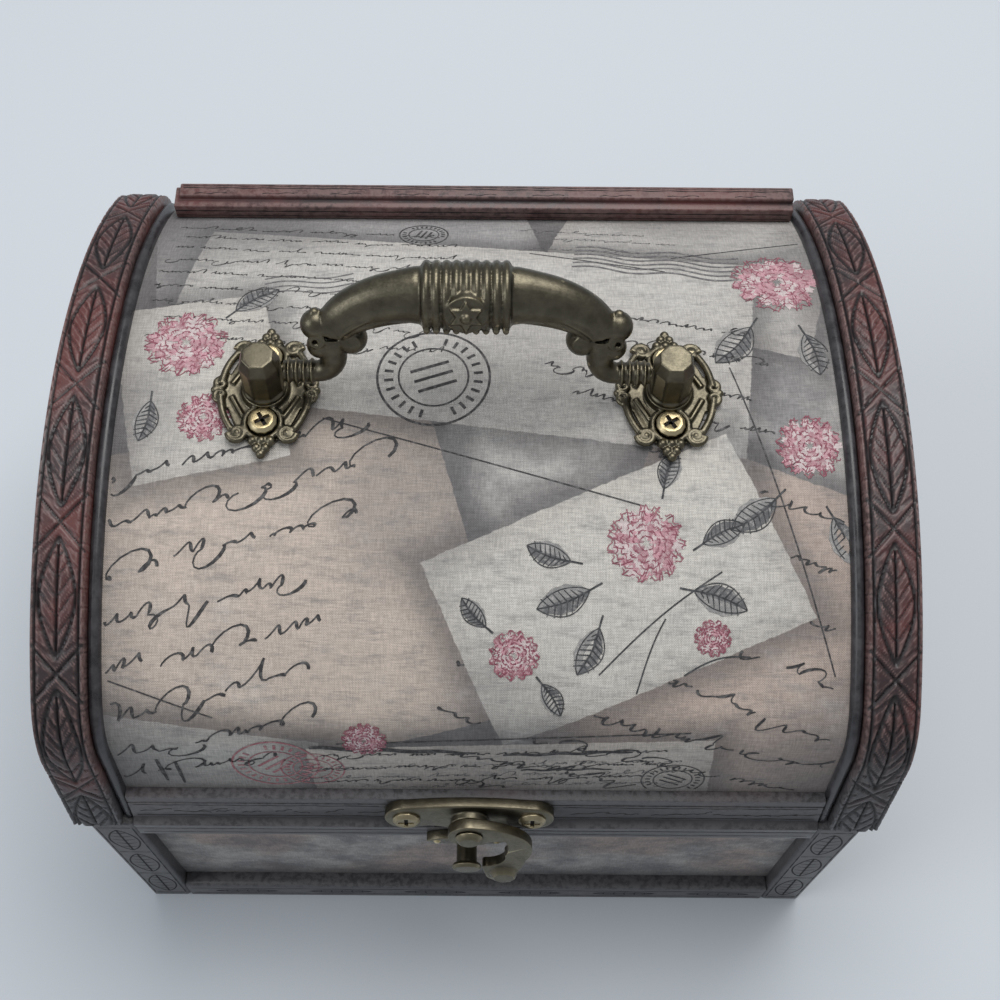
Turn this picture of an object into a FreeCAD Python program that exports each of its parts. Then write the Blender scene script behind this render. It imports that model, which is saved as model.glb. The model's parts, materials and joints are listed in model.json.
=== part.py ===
import FreeCAD, Part
import math
import os
from FreeCAD import Vector, Placement, Rotation

# Domed keepsake box: a clothed box body with carved corner posts, and a barrel lid hinged at the back.
# Frame: millimetres, +Z up, the front faces -Y, the origin is the middle of the underside.

# Body
body_width = 180.0
body_depth = 160.0
body_height = 75.0
board_thickness = 5.0
cloth_thickness = 0.5
panel_recess = 3.8        # from the front of posts and rails to the cloth
post_face = 10.5
bottom_rail_height = 11.0
top_rail_height = 8.5
rail_bevel = 0.8
groove_depth = 0.6
groove_drop = 2.4         # from a top rail's upper edge to its groove
lining_thickness = 0.6
lining_drop = 2.0         # from the body's rim to the top of its lining

# Lid
seam_gap = 0.2
dome_height = 61.0        # from the body's rim to the top of the cloth
front_half = 76.7         # from the middle to the cloth's front at the rim
front_crown_radius = 112.0
front_shoulder_radius = 18.0
front_lean = 10.0         # degrees that the lid's front leans inwards
back_half = 79.0
back_crown_radius = 116.0
back_shoulder_radius = 18.0
back_lean = 6.0
lid_board = 4.0
lid_overhang = 3.5        # how far the lid's ends stand out past the body
end_frame_width = 11.5
end_frame_proud = 4.0     # above the cloth
end_frame_depth = 12.0    # from the frame's outer rim to its inner one
end_sill_height = 9.0
bead_width = 2.8
bead_height = 1.8
bead_shoulder = 1.0       # the bead's height at its edges
bead_crest = 1.5          # the width of its raised middle
front_rail_height = 12.0
front_rail_proud = 2.3
front_lip_height = 2.2    # the lip along the foot of the lid's front rail
front_lip_edge = 1.0
front_lip_reach = 0.4     # past the body's front
front_lip_gap = 0.3       # beside the latch plate's foot, which hangs through the lip
back_rail_height = 16.5
back_overhang = 3.0       # the back rail past the body's back, which stops the open lid

# Batten over the lid's back shoulder
batten_front = 65.0       # from the middle of the lid to the batten's front face
batten_depth = 6.2
batten_ledge = 2.2
batten_low_height = 45.6  # from the body's rim to the ledge
batten_high_height = 47.2
batten_thickness = 12.0   # before it is hollowed to the dome
batten_left_gap = 1.9     # cloth that shows between the bead and the batten's left end
batten_right_gap = 0.3
batten_step_in = 1.4

# Butt hinges
hinge_spacing = 92.0
hinge_length = 20.0
hinge_axis_drop = 0.4     # below the body's rim
knuckle_radius = 1.5
hinge_pin_radius = 0.8
leaf_thickness = 0.7
leaf_depth = 9.0
hinge_clearance = 0.3
hinge_screw_radius = 0.7
hinge_screw_length = 6.0
hinge_screw_pitch = 12.0
hinge_screw_head = 1.4

# Carrying handle
handle_offset = -2.5      # the handle sits a little left of the middle, as fitted by hand
handle_setback = 0.3
post_spacing = 88.6
post_radius = 4.6
post_height = 15.0
post_cap_height = 3.0
post_cap_radius = 3.6
post_foot_radius = 4.9
post_foot_height = 1.2
post_sides = 16
pivot_height = 9.0        # the bail's pins above the cloth
pin_radius = 2.1
pin_length = 3.0
pin_clearance = 0.15
bail_gap = 0.3
bail_lean = 20.0          # degrees back from upright
arch_height = 19.6        # from the pins to the arch's middle line
arch_radius = 6.1
arch_thickness = 10.4
arm_stations = 5          # spans of each arm between the cushion and the knot
arm_narrowing = 0.3
arm_sweep = 78            # degrees that each arm turns down on its way to the knot
bail_sides = 10
cushion_length = 18.4
cushion_rib_count = 9
cushion_sides = 14
cushion_rib_height = 0.9
cushion_core_radius = 6.4
cushion_overlap = 0.6     # of the arms into the cushion
knot_out = 28.3           # from the handle's middle to the top of each neck
knot_up = 8.6
neck_radius = 2.9
neck_end_radius = 2.3
neck_bend = 3.9
neck_ring_count = 3
neck_ring_pitch = 1.9
neck_ring_radius = 3.0
neck_ring_start = 0.8
nub_sides = 8
nub_radius = 3.1          # the upper nub's, its middle from the neck's top out and up
upper_nub_out = 3.3
upper_nub_up = 3.6
lower_nub_radius = 2.9
lower_nub_out = 2.6
lower_nub_up = -1.6
curl_radius = 3.4
curl_out = -4.0
curl_up = 0.2
star_radius = 3.6
star_margin = 1.0
star_waist = 2.1
star_height = 0.7
star_points = 6
star_field_rise = 0.2     # of the star's field past the cushion's ribs
star_boss_height = 0.5

# Rosettes under the posts
rosette_half_width = 12.4
rosette_half_length = 16.6
rosette_web = 1.0
rosette_relief = 2.2
rosette_bar = 1.15        # half the width of the frame bars
rosette_screw_reach = 8.2
rosette_seat_radius = 4.1
rosette_seat_sink = 0.9     # the screws' heads sit in round seats
rosette_scroll_radius = 2.3
rosette_tip_radius = 1.7
rosette_shoulder_x = 5.2
rosette_shoulder_y = 10.6
rosette_end_margin = 1.2  # from the end of the bead cluster back to the web
rosette_pad_margin = 0.8  # of the middle pad past the post's foot
rosette_sides = 8
bead_radius = 1.0
bead_pitch = 1.9
bead_row_pitch = 1.55
bead_sides = 6
standing_reach = 10.0     # below the dome's top, of what is trimmed to the dome

# Screws with crossed slots, their heads flat with a bevelled edge
handle_screw_head = 3.2
handle_screw_rise = 1.3
handle_screw_shank = 1.4
handle_screw_turn = 30
latch_screw_head = 3.2
latch_screw_rise = 1.1
latch_screw_shank = 1.2
slot_width = 0.9
slot_length = 3.6
slot_depth = 0.8
screw_head_bevel = 0.7
screw_point_cover = 0.8   # board that is left under a screw's end
screw_clearance = 0.1
small_sides = 12          # of the screws, the nails and their holes

# Latch
latch_offset = -1.4
peg_shift = -0.6          # the peg's middle from the hook's pivot
pivot_over_peg = 11.8
latch_plate_thickness = 2.6
latch_lobe_reach = 14.3
latch_lobe_radius = 5.0
latch_plate_top = 6.3
latch_plate_bottom = 6.2
latch_waist_x = 7.9       # where the plate narrows between its lobes and its foot
latch_waist_y = 3.8
latch_foot_x = 4.6
latch_foot_y = 5.0
latch_boss_radius = 4.3
latch_boss_height = 1.8
hook_thickness = 2.4
hook_gap = 0.2
hook_boss_radius = 4.8
swell_radius = 5.0        # the hook's lower end, thickened where a finger pushes it
swell_height = 1.4
swell_x = 4.8
swell_drop = 4.6
swell_sides = 8
rivet_radius = 1.8
rivet_head_radius = 3.3
rivet_head_height = 1.3
rivet_head_top = 2.2
hook_rest_turn = 9.5      # degrees that the hook rests clear of its peg
tip_under_neck = 1.9      # play between the hook's tip and the peg's neck
catch_half_length = 9.5
catch_half_height = 3.9
catch_thickness = 2.2
catch_pin_reach = 7.0
catch_pin_radius = 0.9
peg_neck_radius = 2.4
peg_head_radius = 3.5
peg_head_thickness = 1.5
peg_head_bevel = 0.5
peg_sides = 16
knuckle_sides = 16
peg_play = 0.4

# Worked out from the sizes above
strip = panel_recess + cloth_thickness
half_width = body_width / 2
half_depth = body_depth / 2
post_inner_x = half_width - post_face
post_inner_y = half_depth - post_face
wall_x = half_width - strip
wall_y = half_depth - strip
inside_x = wall_x - board_thickness
inside_y = wall_y - board_thickness
seam = body_height + seam_gap
lid_half = half_width + lid_overhang
frame_inner = lid_half - end_frame_width
bead_inner = frame_inner - bead_width
end_board_outer = lid_half - strip
end_board_inner = end_board_outer - board_thickness
end_inner_offset = end_frame_proud - end_frame_depth
lean = math.radians(front_lean)
lid_top = body_height + dome_height
handle_screw_seat = lid_top + rosette_relief - rosette_seat_sink
handle_screw_end = lid_top - cloth_thickness - lid_board + screw_point_cover


def box(x0, x1, y0, y1, z0, z1):
    return Part.makeBox(x1 - x0, y1 - y0, z1 - z0, Vector(x0, y0, z0))


def cylinder(radius, start, direction, length):
    return Part.makeCylinder(radius, length, start, direction)


def corners(sides, radius_x, radius_y, z=0.0):
    turns = [2 * math.pi * (index + 0.5) / sides for index in range(sides)]
    return [Vector(radius_x * math.cos(turn), radius_y * math.sin(turn), z) for turn in turns]


def outline(points):
    return Part.makePolygon(points + [points[0]])


def polygon(sides, radius, z=0.0):
    return outline(corners(sides, radius, radius, z))


def rod(radius, start, direction, length, sides=small_sides):
    # Small round pieces that nothing turns on are many-sided, to keep the model light
    shape = Part.Face(polygon(sides, radius)).extrude(Vector(0, 0, length))
    shape.Placement = Placement(start, Rotation(Vector(0, 0, 1), direction))
    return shape


def bevelled_head(radius, face_radius, height, start, direction, sides=small_sides):
    shape = Part.makeLoft([polygon(sides, radius), polygon(sides, face_radius, height)], True, True)
    shape.Placement = Placement(start, Rotation(Vector(0, 0, 1), direction))
    return shape


def skinned(rings):
    # A solid through rings of corners; each patch is split in two, so that every face is flat
    faces = [Part.Face(outline(rings[0])), Part.Face(outline(rings[-1]))]
    for low, high in zip(rings, rings[1:]):
        for index, corner in enumerate(low):
            after = (index + 1) % len(low)
            faces.append(Part.Face(outline([corner, low[after], high[index]])))
            faces.append(Part.Face(outline([low[after], high[after], high[index]])))
    solid = Part.makeSolid(Part.makeShell(faces))
    if solid.Volume < 0:
        solid.reverse()
    return solid


def fused(shapes):
    whole = shapes[0].multiFuse(shapes[1:])
    return whole.removeSplitter()


def mirrored_x(shape):
    return shape.mirror(Vector(0, 0, 0), Vector(1, 0, 0))


def save(name, shape):
    shape.exportStep("parts/" + name + ".step")
    print(name, len(shape.Solids), shape.isValid())


def edges_where(shape, test):
    return [edge for edge in shape.Edges if test(edge)]


def runs_along(edge, axis):
    if len(edge.Vertexes) != 2:
        return False
    span = edge.Vertexes[1].Point - edge.Vertexes[0].Point
    return span.Length > 0 and abs(abs(span.normalize().dot(axis)) - 1) < 1e-6


# The dome's profile: leaning sides, round shoulders and a shallow crown, all tangent.
# The front and the back have their own sizes and meet level at the top.
class Side:
    def __init__(self, way, half, crown_radius, shoulder_radius, lean_degrees):
        self.way = way
        self.half = half
        self.crown_radius = crown_radius
        self.shoulder_radius = shoulder_radius
        self.lean = math.radians(lean_degrees)
        self.crown = Vector(0, 0, lid_top - crown_radius)
        self.out_side = Vector(0, math.cos(self.lean), math.sin(self.lean))
        self.centre = self.shoulder_centre()
        self.out_crown = (self.centre - self.crown).normalize()

    def shoulder_centre(self):
        along = Vector(0, -math.sin(self.lean), math.cos(self.lean))
        start = Vector(0, self.half, body_height) - self.out_side * self.shoulder_radius - self.crown
        middle = start.dot(along)
        reach = self.crown_radius - self.shoulder_radius
        rise = -middle + math.sqrt(middle * middle - start.dot(start) + reach * reach)
        return start + along * rise + self.crown

    def y(self, offset, z):
        return self.half + offset / math.cos(self.lean) - (z - body_height) * math.tan(self.lean)

    def crown_height(self, offset, y):
        return self.crown.z + math.sqrt((self.crown_radius + offset) ** 2 - y * y)

    def points(self, offset, z):
        radius = self.shoulder_radius + offset
        out_middle = (self.out_side + self.out_crown).normalize()
        half_crown = (self.out_crown + Vector(0, 0, 1)).normalize()
        found = [Vector(0, self.y(offset, z), z), self.centre + self.out_side * radius,
                 self.centre + out_middle * radius, self.centre + self.out_crown * radius,
                 self.crown + half_crown * (self.crown_radius + offset)]
        return [Vector(0, self.way * point.y, point.z) for point in found]


front_side = Side(-1, front_half, front_crown_radius, front_shoulder_radius, front_lean)
back_side = Side(1, back_half, back_crown_radius, back_shoulder_radius, back_lean)


def dome_edges(offset, z):
    foot, side, shoulder, crown, rise = front_side.points(offset, z)
    top = Vector(0, 0, lid_top + offset)
    back_foot, back_line, back_shoulder, back_crown, back_rise = back_side.points(offset, z)
    return [
        Part.LineSegment(foot, side).toShape(),
        Part.Arc(side, shoulder, crown).toShape(),
        Part.Arc(crown, rise, top).toShape(),
        Part.Arc(top, back_rise, back_crown).toShape(),
        Part.Arc(back_crown, back_shoulder, back_line).toShape(),
        Part.LineSegment(back_line, back_foot).toShape(),
    ]


def dome(offset, x0, x1, z=seam):
    edges = dome_edges(offset, z)
    first = edges[0].Vertexes[0].Point
    last = edges[-1].Vertexes[-1].Point
    edges.append(Part.LineSegment(last, first).toShape())
    face = Part.Face(Part.Wire(edges))
    face.translate(Vector(x0, 0, 0))
    return face.extrude(Vector(x1 - x0, 0, 0))


def dome_shell(inner, outer, x0, x1):
    reach = Part.makeBox(x1 - x0, 4 * half_depth, 4 * lid_top, Vector(x0, -2 * half_depth, seam))
    return dome(outer, x0, x1).cut(dome(inner, x0 - 1, x1 + 1, seam - 5)).common(reach)


# Body boards, cloth panels and lining
def make_boards():
    front = box(-wall_x, wall_x, -wall_y, -inside_y, 0, body_height)
    back = box(-wall_x, wall_x, inside_y, wall_y, 0, body_height)
    left = box(-wall_x, -inside_x, -inside_y, inside_y, 0, body_height)
    right = box(inside_x, wall_x, -inside_y, inside_y, 0, body_height)
    bottom = box(-inside_x, inside_x, -inside_y, inside_y, 0, board_thickness)
    return {"front_board": front, "back_board": back, "left_board": left, "right_board": right,
            "bottom_board": bottom}


def make_body_cloths():
    low = bottom_rail_height
    high = body_height - top_rail_height
    front = box(-post_inner_x, post_inner_x, -wall_y - cloth_thickness, -wall_y, low, high)
    back = box(-post_inner_x, post_inner_x, wall_y, wall_y + cloth_thickness, low, high)
    left = box(-wall_x - cloth_thickness, -wall_x, -post_inner_y, post_inner_y, low, high)
    right = box(wall_x, wall_x + cloth_thickness, -post_inner_y, post_inner_y, low, high)
    return {"front_body_cloth": front, "back_body_cloth": back, "left_body_cloth": left,
            "right_body_cloth": right}


def make_body_lining():
    top = body_height - lining_drop
    outer = box(-inside_x, inside_x, -inside_y, inside_y, board_thickness, top)
    inner = box(-inside_x + lining_thickness, inside_x - lining_thickness,
                -inside_y + lining_thickness, inside_y - lining_thickness,
                board_thickness + lining_thickness, top + 1)
    return outer.cut(inner)


# Posts and rails that frame the body's four cloth panels
def make_corner_post():
    leg_x = box(-half_width, -post_inner_x, -half_depth, -wall_y, 0, body_height)
    leg_y = box(-half_width, -wall_x, -half_depth, -post_inner_y, 0, body_height)
    post = fused([leg_x, leg_y])
    corner = edges_where(post, lambda e: runs_along(e, Vector(0, 0, 1))
                         and abs(e.Vertexes[0].X + half_width) < 1e-6
                         and abs(e.Vertexes[0].Y + half_depth) < 1e-6)
    post = post.makeFillet(rail_bevel, corner)
    inner = edges_where(post, lambda e: runs_along(e, Vector(0, 0, 1))
                        and (abs(e.Vertexes[0].X + post_inner_x) < 1e-6
                             and abs(e.Vertexes[0].Y + half_depth) < 1e-6
                             or abs(e.Vertexes[0].Y + post_inner_y) < 1e-6
                             and abs(e.Vertexes[0].X + half_width) < 1e-6))
    return post.makeChamfer(rail_bevel, inner)


def make_rail(length, low, high, bevel_top):
    # A rail along X with its outer face at y = 0, bevelled on the edge beside the cloth
    rail = box(-length / 2, length / 2, 0, strip, low, high)
    edge_z = high if bevel_top else low
    inner = edges_where(rail, lambda e: runs_along(e, Vector(1, 0, 0))
                        and abs(e.Vertexes[0].Z - edge_z) < 1e-6 and abs(e.Vertexes[0].Y) < 1e-6)
    rail = rail.makeChamfer(rail_bevel, inner)
    if bevel_top:
        return rail
    groove_z = high - groove_drop
    return rail.cut(box(-length, length, -1, groove_depth, groove_z - groove_depth, groove_z))


def make_rails():
    rails = {}
    sides = (("front", 0, post_inner_x, half_depth), ("right", 90, post_inner_y, half_width),
             ("back", 180, post_inner_x, half_depth), ("left", 270, post_inner_y, half_width))
    for name, turn, half_length, reach in sides:
        bottom = make_rail(2 * half_length, 0, bottom_rail_height, True)
        top = make_rail(2 * half_length, body_height - top_rail_height, body_height, False)
        for label, rail in (("bottom", bottom), ("top", top)):
            rail.translate(Vector(0, -reach, 0))
            rail.rotate(Vector(0, 0, 0), Vector(0, 0, 1), turn)
            rails[name + "_" + label + "_rail"] = rail
    return rails


# Hinges: axis on the body's back face, leaves let into the rim and the lid
hinge_y = half_depth
hinge_z = body_height - hinge_axis_drop
body_screw_y = (inside_y + wall_y) / 2
leaf_front = half_depth - leaf_depth
leaf_back = half_depth - knuckle_radius - hinge_clearance
lid_screw_y = leaf_back - hinge_screw_head - hinge_clearance


def hinge_places():
    return [-hinge_spacing / 2, hinge_spacing / 2]


def knuckle_spans(x, outer):
    third = hinge_length / 3
    play = hinge_clearance / 2
    if outer:
        return [(x - hinge_length / 2, x - third / 2 - play), (x + third / 2 + play, x + hinge_length / 2)]
    return [(x - third / 2 + play, x + third / 2 - play)]


def hinge_swing_space(x):
    reach = hinge_length / 2 + hinge_clearance
    start = Vector(x - reach, hinge_y, hinge_z)
    return cylinder(knuckle_radius + hinge_clearance, start, Vector(1, 0, 0), 2 * reach)


def leaf_space(x, low, high):
    reach = hinge_length / 2
    return box(x - reach, x + reach, leaf_front, leaf_back + knuckle_radius, low, high)


def hinge_screw_places(x):
    return [x - hinge_screw_pitch / 2, x + hinge_screw_pitch / 2]


def make_leaf(x, outer, low, high, screw_y):
    reach = hinge_length / 2
    pieces = [box(x - reach, x + reach, leaf_front, leaf_back, low, high)]
    for start, end in knuckle_spans(x, outer):
        pieces.append(box(start, end, leaf_back - 1, hinge_y, low, high))
        pieces.append(rod(knuckle_radius, Vector(start, hinge_y, hinge_z), Vector(1, 0, 0), end - start,
                          knuckle_sides))
    leaf = fused(pieces)
    hole_radius = hinge_pin_radius + pin_clearance / 3
    start = Vector(x - reach - 1, hinge_y, hinge_z)
    leaf = leaf.cut(cylinder(hole_radius, start, Vector(1, 0, 0), 2 * reach + 2))
    for screw_x in hinge_screw_places(x):
        leaf = leaf.cut(rod(hinge_screw_head + screw_clearance, Vector(screw_x, screw_y, low - 1),
                            Vector(0, 0, 1), high - low + 2))
    return leaf


def make_hinge_screw(x, z, upward):
    way = Vector(0, 0, 1 if upward else -1)
    y = lid_screw_y if upward else body_screw_y
    start = Vector(x, y, z)
    head = bevelled_head(hinge_screw_head, hinge_screw_radius, leaf_thickness, start, way)
    shank = rod(hinge_screw_radius, start + way * leaf_thickness, way, hinge_screw_length)
    return fused([head, shank])


def hinge_screw_hole(x, upward):
    way = Vector(0, 0, 1 if upward else -1)
    y = lid_screw_y if upward else body_screw_y
    start = Vector(x, y, body_height - way.z * hinge_screw_length / 4)
    return rod(hinge_screw_radius + screw_clearance, start, way, 1.5 * hinge_screw_length)


def cut_hinge_seats(shape, upward):
    low = seam - 1 if upward else body_height - leaf_thickness
    high = seam + leaf_thickness if upward else body_height + 1
    for x in hinge_places():
        shape = shape.cut(hinge_swing_space(x)).cut(leaf_space(x, low, high))
        for screw_x in hinge_screw_places(x):
            shape = shape.cut(hinge_screw_hole(screw_x, upward))
    return shape


def make_hinges():
    kinds = ("body_leaves", "lid_leaves", "pins", "body_screws", "lid_screws")
    made = {"hinge_" + kind: [] for kind in kinds}
    for x in hinge_places():
        leaf = make_leaf(x, True, body_height - leaf_thickness, body_height, body_screw_y)
        made["hinge_body_leaves"].append(leaf)
        made["hinge_lid_leaves"].append(make_leaf(x, False, seam, seam + leaf_thickness, lid_screw_y))
        start = Vector(x - hinge_length / 2, hinge_y, hinge_z)
        made["hinge_pins"].append(cylinder(hinge_pin_radius, start, Vector(1, 0, 0), hinge_length))
        for screw_x in hinge_screw_places(x):
            made["hinge_body_screws"].append(make_hinge_screw(screw_x, body_height, False))
            made["hinge_lid_screws"].append(make_hinge_screw(screw_x, seam, True))
    return {name: Part.makeCompound(pieces) for name, pieces in made.items()}


# A screw head with a crossed slot, at the origin, its shank down -Z
def make_cross_screw(head_radius, rise, shank_radius, shank_length):
    up = Vector(0, 0, 1)
    rim = rod(head_radius, Vector(0, 0, 0), up, rise - screw_head_bevel)
    face = bevelled_head(head_radius, head_radius - screw_head_bevel, screw_head_bevel,
                         Vector(0, 0, rise - screw_head_bevel), up)
    shank = rod(shank_radius, Vector(0, 0, -shank_length), up, shank_length)
    low = rise - slot_depth
    slot_x = box(-slot_length / 2, slot_length / 2, -slot_width / 2, slot_width / 2, low, rise + 1)
    slot_y = box(-slot_width / 2, slot_width / 2, -slot_length / 2, slot_length / 2, low, rise + 1)
    return fused([rim, face, shank]).cut(slot_x.fuse(slot_y))


# Latch, drawn flat: x to the right, y up the lid's leaning rail, z out of it
peg_x = latch_offset + peg_shift
peg_z = body_height - top_rail_height / 2
latch_pivot_z = peg_z + pivot_over_peg
latch_pivot_y = -front_side.y(front_rail_proud, latch_pivot_z)
hook_back = latch_plate_thickness + latch_boss_height + hook_gap
hook_front = hook_back + hook_thickness
peg_below_pivot = pivot_over_peg / math.cos(lean)
tip_top = -peg_below_pivot - peg_neck_radius - tip_under_neck


def on_rail(shape):
    shape = shape.copy()
    turn = Rotation(Vector(1, 0, 0), 90 - front_lean)
    pivot = Vector(latch_offset, latch_pivot_y, latch_pivot_z)
    shape.Placement = Placement(pivot, turn).multiply(shape.Placement)
    return shape


def arcs_through(points):
    # Arcs that each take three points, the last of one being the first of the next
    spots = [Vector(x, y, 0) for x, y in points]
    return [Part.Arc(*spots[first:first + 3]).toShape() for first in range(0, len(spots) - 2, 2)]


def line(start, end):
    return Part.LineSegment(Vector(*start, 0), Vector(*end, 0)).toShape()


def make_latch_plate():
    lobe = latch_lobe_reach
    top = latch_plate_top
    low = -latch_plate_bottom
    lobe_top = Vector(lobe, latch_lobe_radius, 0)
    lobe_out = Vector(lobe + latch_lobe_radius, 0, 0)
    turn = math.radians(-125)
    lobe_in = Vector(lobe + latch_lobe_radius * math.cos(turn), latch_lobe_radius * math.sin(turn), 0)
    waist = Vector(latch_waist_x, -latch_waist_y, 0)
    foot = Vector(latch_foot_x, -latch_foot_y, 0)

    def other(point):
        return Vector(-point.x, point.y, 0)

    edges = [
        Part.Arc(other(lobe_top), Vector(0, top, 0), lobe_top).toShape(),
        Part.Arc(lobe_top, lobe_out, lobe_in).toShape(),
        Part.Arc(lobe_in, waist, foot).toShape(),
        Part.Arc(foot, Vector(0, low, 0), other(foot)).toShape(),
        Part.Arc(other(foot), other(waist), other(lobe_in)).toShape(),
        Part.Arc(other(lobe_in), other(lobe_out), other(lobe_top)).toShape(),
    ]
    plate = Part.Face(Part.Wire(edges)).extrude(Vector(0, 0, latch_plate_thickness))
    up = Vector(0, 0, 1)
    face = Vector(0, 0, latch_plate_thickness)
    plate = plate.fuse(cylinder(latch_boss_radius, face, up, latch_boss_height))
    plate = plate.cut(cylinder(rivet_radius + screw_clearance, Vector(0, 0, -1), up, hook_front))
    for side in (-1, 1):
        hole_radius = latch_screw_shank + screw_clearance
        plate = plate.cut(rod(hole_radius, Vector(side * lobe, 0, -1), up, latch_plate_thickness + 2))
    return plate


def make_latch_hook():
    # The outline runs round the boss, down the outer side, round the tip and back up inside
    boss = hook_boss_radius
    start = (-0.72 * boss, -0.69 * boss)
    top = (0.4 * boss, 0.916 * boss)
    tip = (0.2, tip_top - 0.8)
    heel = (0.3, tip_top - 5.4)
    outer = [top, (7.6, 1.6), (11.9, -3.0), (13.2, -8.0), (11.0, -14.5), (8.2, tip_top - 4.5),
             (5.6, tip_top - 8.4), (2.2, tip_top - 8.6), heel]
    inner = [tip, (0.5, tip_top - 0.2), (1.4, tip_top), (4.2, tip_top + 0.6), (6.4, -11.5),
             (7.9, -7.0), (7.6, -3.9), (5.4, -3.4), (2.6, -4.6)]
    edges = arcs_through([start, (-boss, 0), top]) + arcs_through(outer) + [line(heel, tip)]
    edges += arcs_through(inner) + [line(inner[-1], start)]
    hook = Part.Face(Part.Wire(edges)).extrude(Vector(0, 0, hook_thickness))
    # The lower end swells forward where a finger pushes it
    foot = Vector(swell_x, tip_top - swell_drop, hook_thickness - swell_height)
    up = Vector(0, 0, 1)
    swell = bevelled_head(swell_radius, swell_radius / 2, 2 * swell_height, foot, up, swell_sides)
    reach = Part.Face(Part.Wire(edges)).extrude(Vector(0, 0, 3 * hook_thickness))
    hook = hook.fuse(swell.common(reach))
    hook = hook.cut(cylinder(rivet_radius + pin_clearance, Vector(0, 0, -1), up, 4 * hook_thickness))
    hook.translate(Vector(0, 0, hook_back))
    hook.rotate(Vector(0, 0, 0), Vector(0, 0, 1), hook_rest_turn)
    return hook.removeSplitter()


def make_latch_rivet():
    head_low = hook_front + hook_gap
    up = Vector(0, 0, 1)
    head = bevelled_head(rivet_head_radius, rivet_head_top, rivet_head_height, Vector(0, 0, head_low), up,
                         peg_sides)
    return fused([cylinder(rivet_radius, Vector(0, 0, -lid_board), up, head_low + lid_board), head])


def latch_holes():
    depth = front_rail_proud + cloth_thickness + lid_board
    holes = [cylinder(rivet_radius + screw_clearance, Vector(0, 0, -depth), Vector(0, 0, 1), depth + 1)]
    for side in (-1, 1):
        holes.append(rod(latch_screw_shank + screw_clearance, Vector(side * latch_lobe_reach, 0, -depth),
                         Vector(0, 0, 1), depth + 1))
    return on_rail(Part.makeCompound(holes))


def make_latch_screws():
    screws = []
    for side in (-1, 1):
        screw = make_cross_screw(latch_screw_head, latch_screw_rise, latch_screw_shank,
                                 latch_plate_thickness + lid_board)
        screw.translate(Vector(side * latch_lobe_reach, 0, latch_plate_thickness))
        screws.append(on_rail(screw))
    return Part.makeCompound(screws)


# The catch on the body's top rail
def catch_hook_plane(z, out):
    return front_side.y(front_rail_proud, z) + out / math.cos(lean)


def forward(shape):
    # Turns a shape drawn along +Z to point along -Y from the body's front face at the peg
    shape = shape.copy()
    place = Placement(Vector(peg_x, -half_depth, peg_z), Rotation(Vector(1, 0, 0), 90))
    shape.Placement = place.multiply(shape.Placement)
    return shape


def make_catch_plate():
    length = catch_half_length
    height = catch_half_height
    shares = ((-1, 0), (-0.55, 0.62), (-0.3, 0.6), (0, 1), (0.3, 0.6), (0.55, 0.62), (1, 0))
    edges = arcs_through([(across * length, up * height) for across, up in shares])
    edges += [edge.mirror(Vector(0, 0, 0), Vector(0, 1, 0)) for edge in edges]
    plate = Part.Face(Part.Wire(Part.__sortEdges__(edges))).extrude(Vector(0, 0, catch_thickness))
    up = Vector(0, 0, 1)
    plate = plate.cut(rod(peg_neck_radius, Vector(0, 0, -1), up, catch_thickness + 2, peg_sides))
    for side in (-1, 1):
        hole_radius = (catch_pin_radius + screw_clearance) / 2
        plate = plate.cut(rod(hole_radius, Vector(side * catch_pin_reach, 0, -1), up, catch_thickness + 2))
    return forward(plate)


def make_catch_peg():
    neck_end = catch_hook_plane(peg_z, hook_front) + peg_play - half_depth
    up = Vector(0, 0, 1)
    half = peg_head_thickness / 2
    small = peg_head_radius - peg_head_bevel
    neck = rod(peg_neck_radius, Vector(0, 0, 0), up, neck_end, peg_sides)
    head = bevelled_head(small, peg_head_radius, half, Vector(0, 0, neck_end), up, peg_sides)
    face = bevelled_head(peg_head_radius, small, half, Vector(0, 0, neck_end + half), up, peg_sides)
    return forward(fused([neck, head, face]))


def make_catch_pins():
    pins = []
    for side in (-1, 1):
        up = Vector(0, 0, 1)
        half = catch_pin_radius / 2
        shank = rod(half, Vector(0, 0, -strip + 1), up, strip - 1 + catch_thickness)
        head = bevelled_head(catch_pin_radius, half, half, Vector(0, 0, catch_thickness), up)
        pin = fused([shank, head])
        pin.translate(Vector(side * catch_pin_reach, 0, 0))
        pins.append(forward(pin))
    return Part.makeCompound(pins)


def catch_pin_holes():
    holes = []
    for side in (-1, 1):
        hole = rod(catch_pin_radius / 2 + screw_clearance / 2, Vector(side * catch_pin_reach, 0, -strip),
                   Vector(0, 0, 1), strip + 1)
        holes.append(forward(hole))
    return Part.makeCompound(holes)


# Lid pieces
def handle_screw_places():
    places = []
    for side in (-1, 1):
        x = handle_offset + side * post_spacing / 2
        for way in (-1, 1):
            places.append(Vector(x, handle_setback + way * rosette_screw_reach, 0))
    return places


def turned_rod(radius, start):
    hole = rod(radius, start, Vector(0, 0, 1), standing_reach)
    hole.rotate(start, Vector(0, 0, 1), handle_screw_turn)
    return hole


def handle_holes():
    low = handle_screw_end - screw_clearance
    return Part.makeCompound([turned_rod(handle_screw_shank + screw_clearance, place + Vector(0, 0, low))
                              for place in handle_screw_places()])


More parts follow.
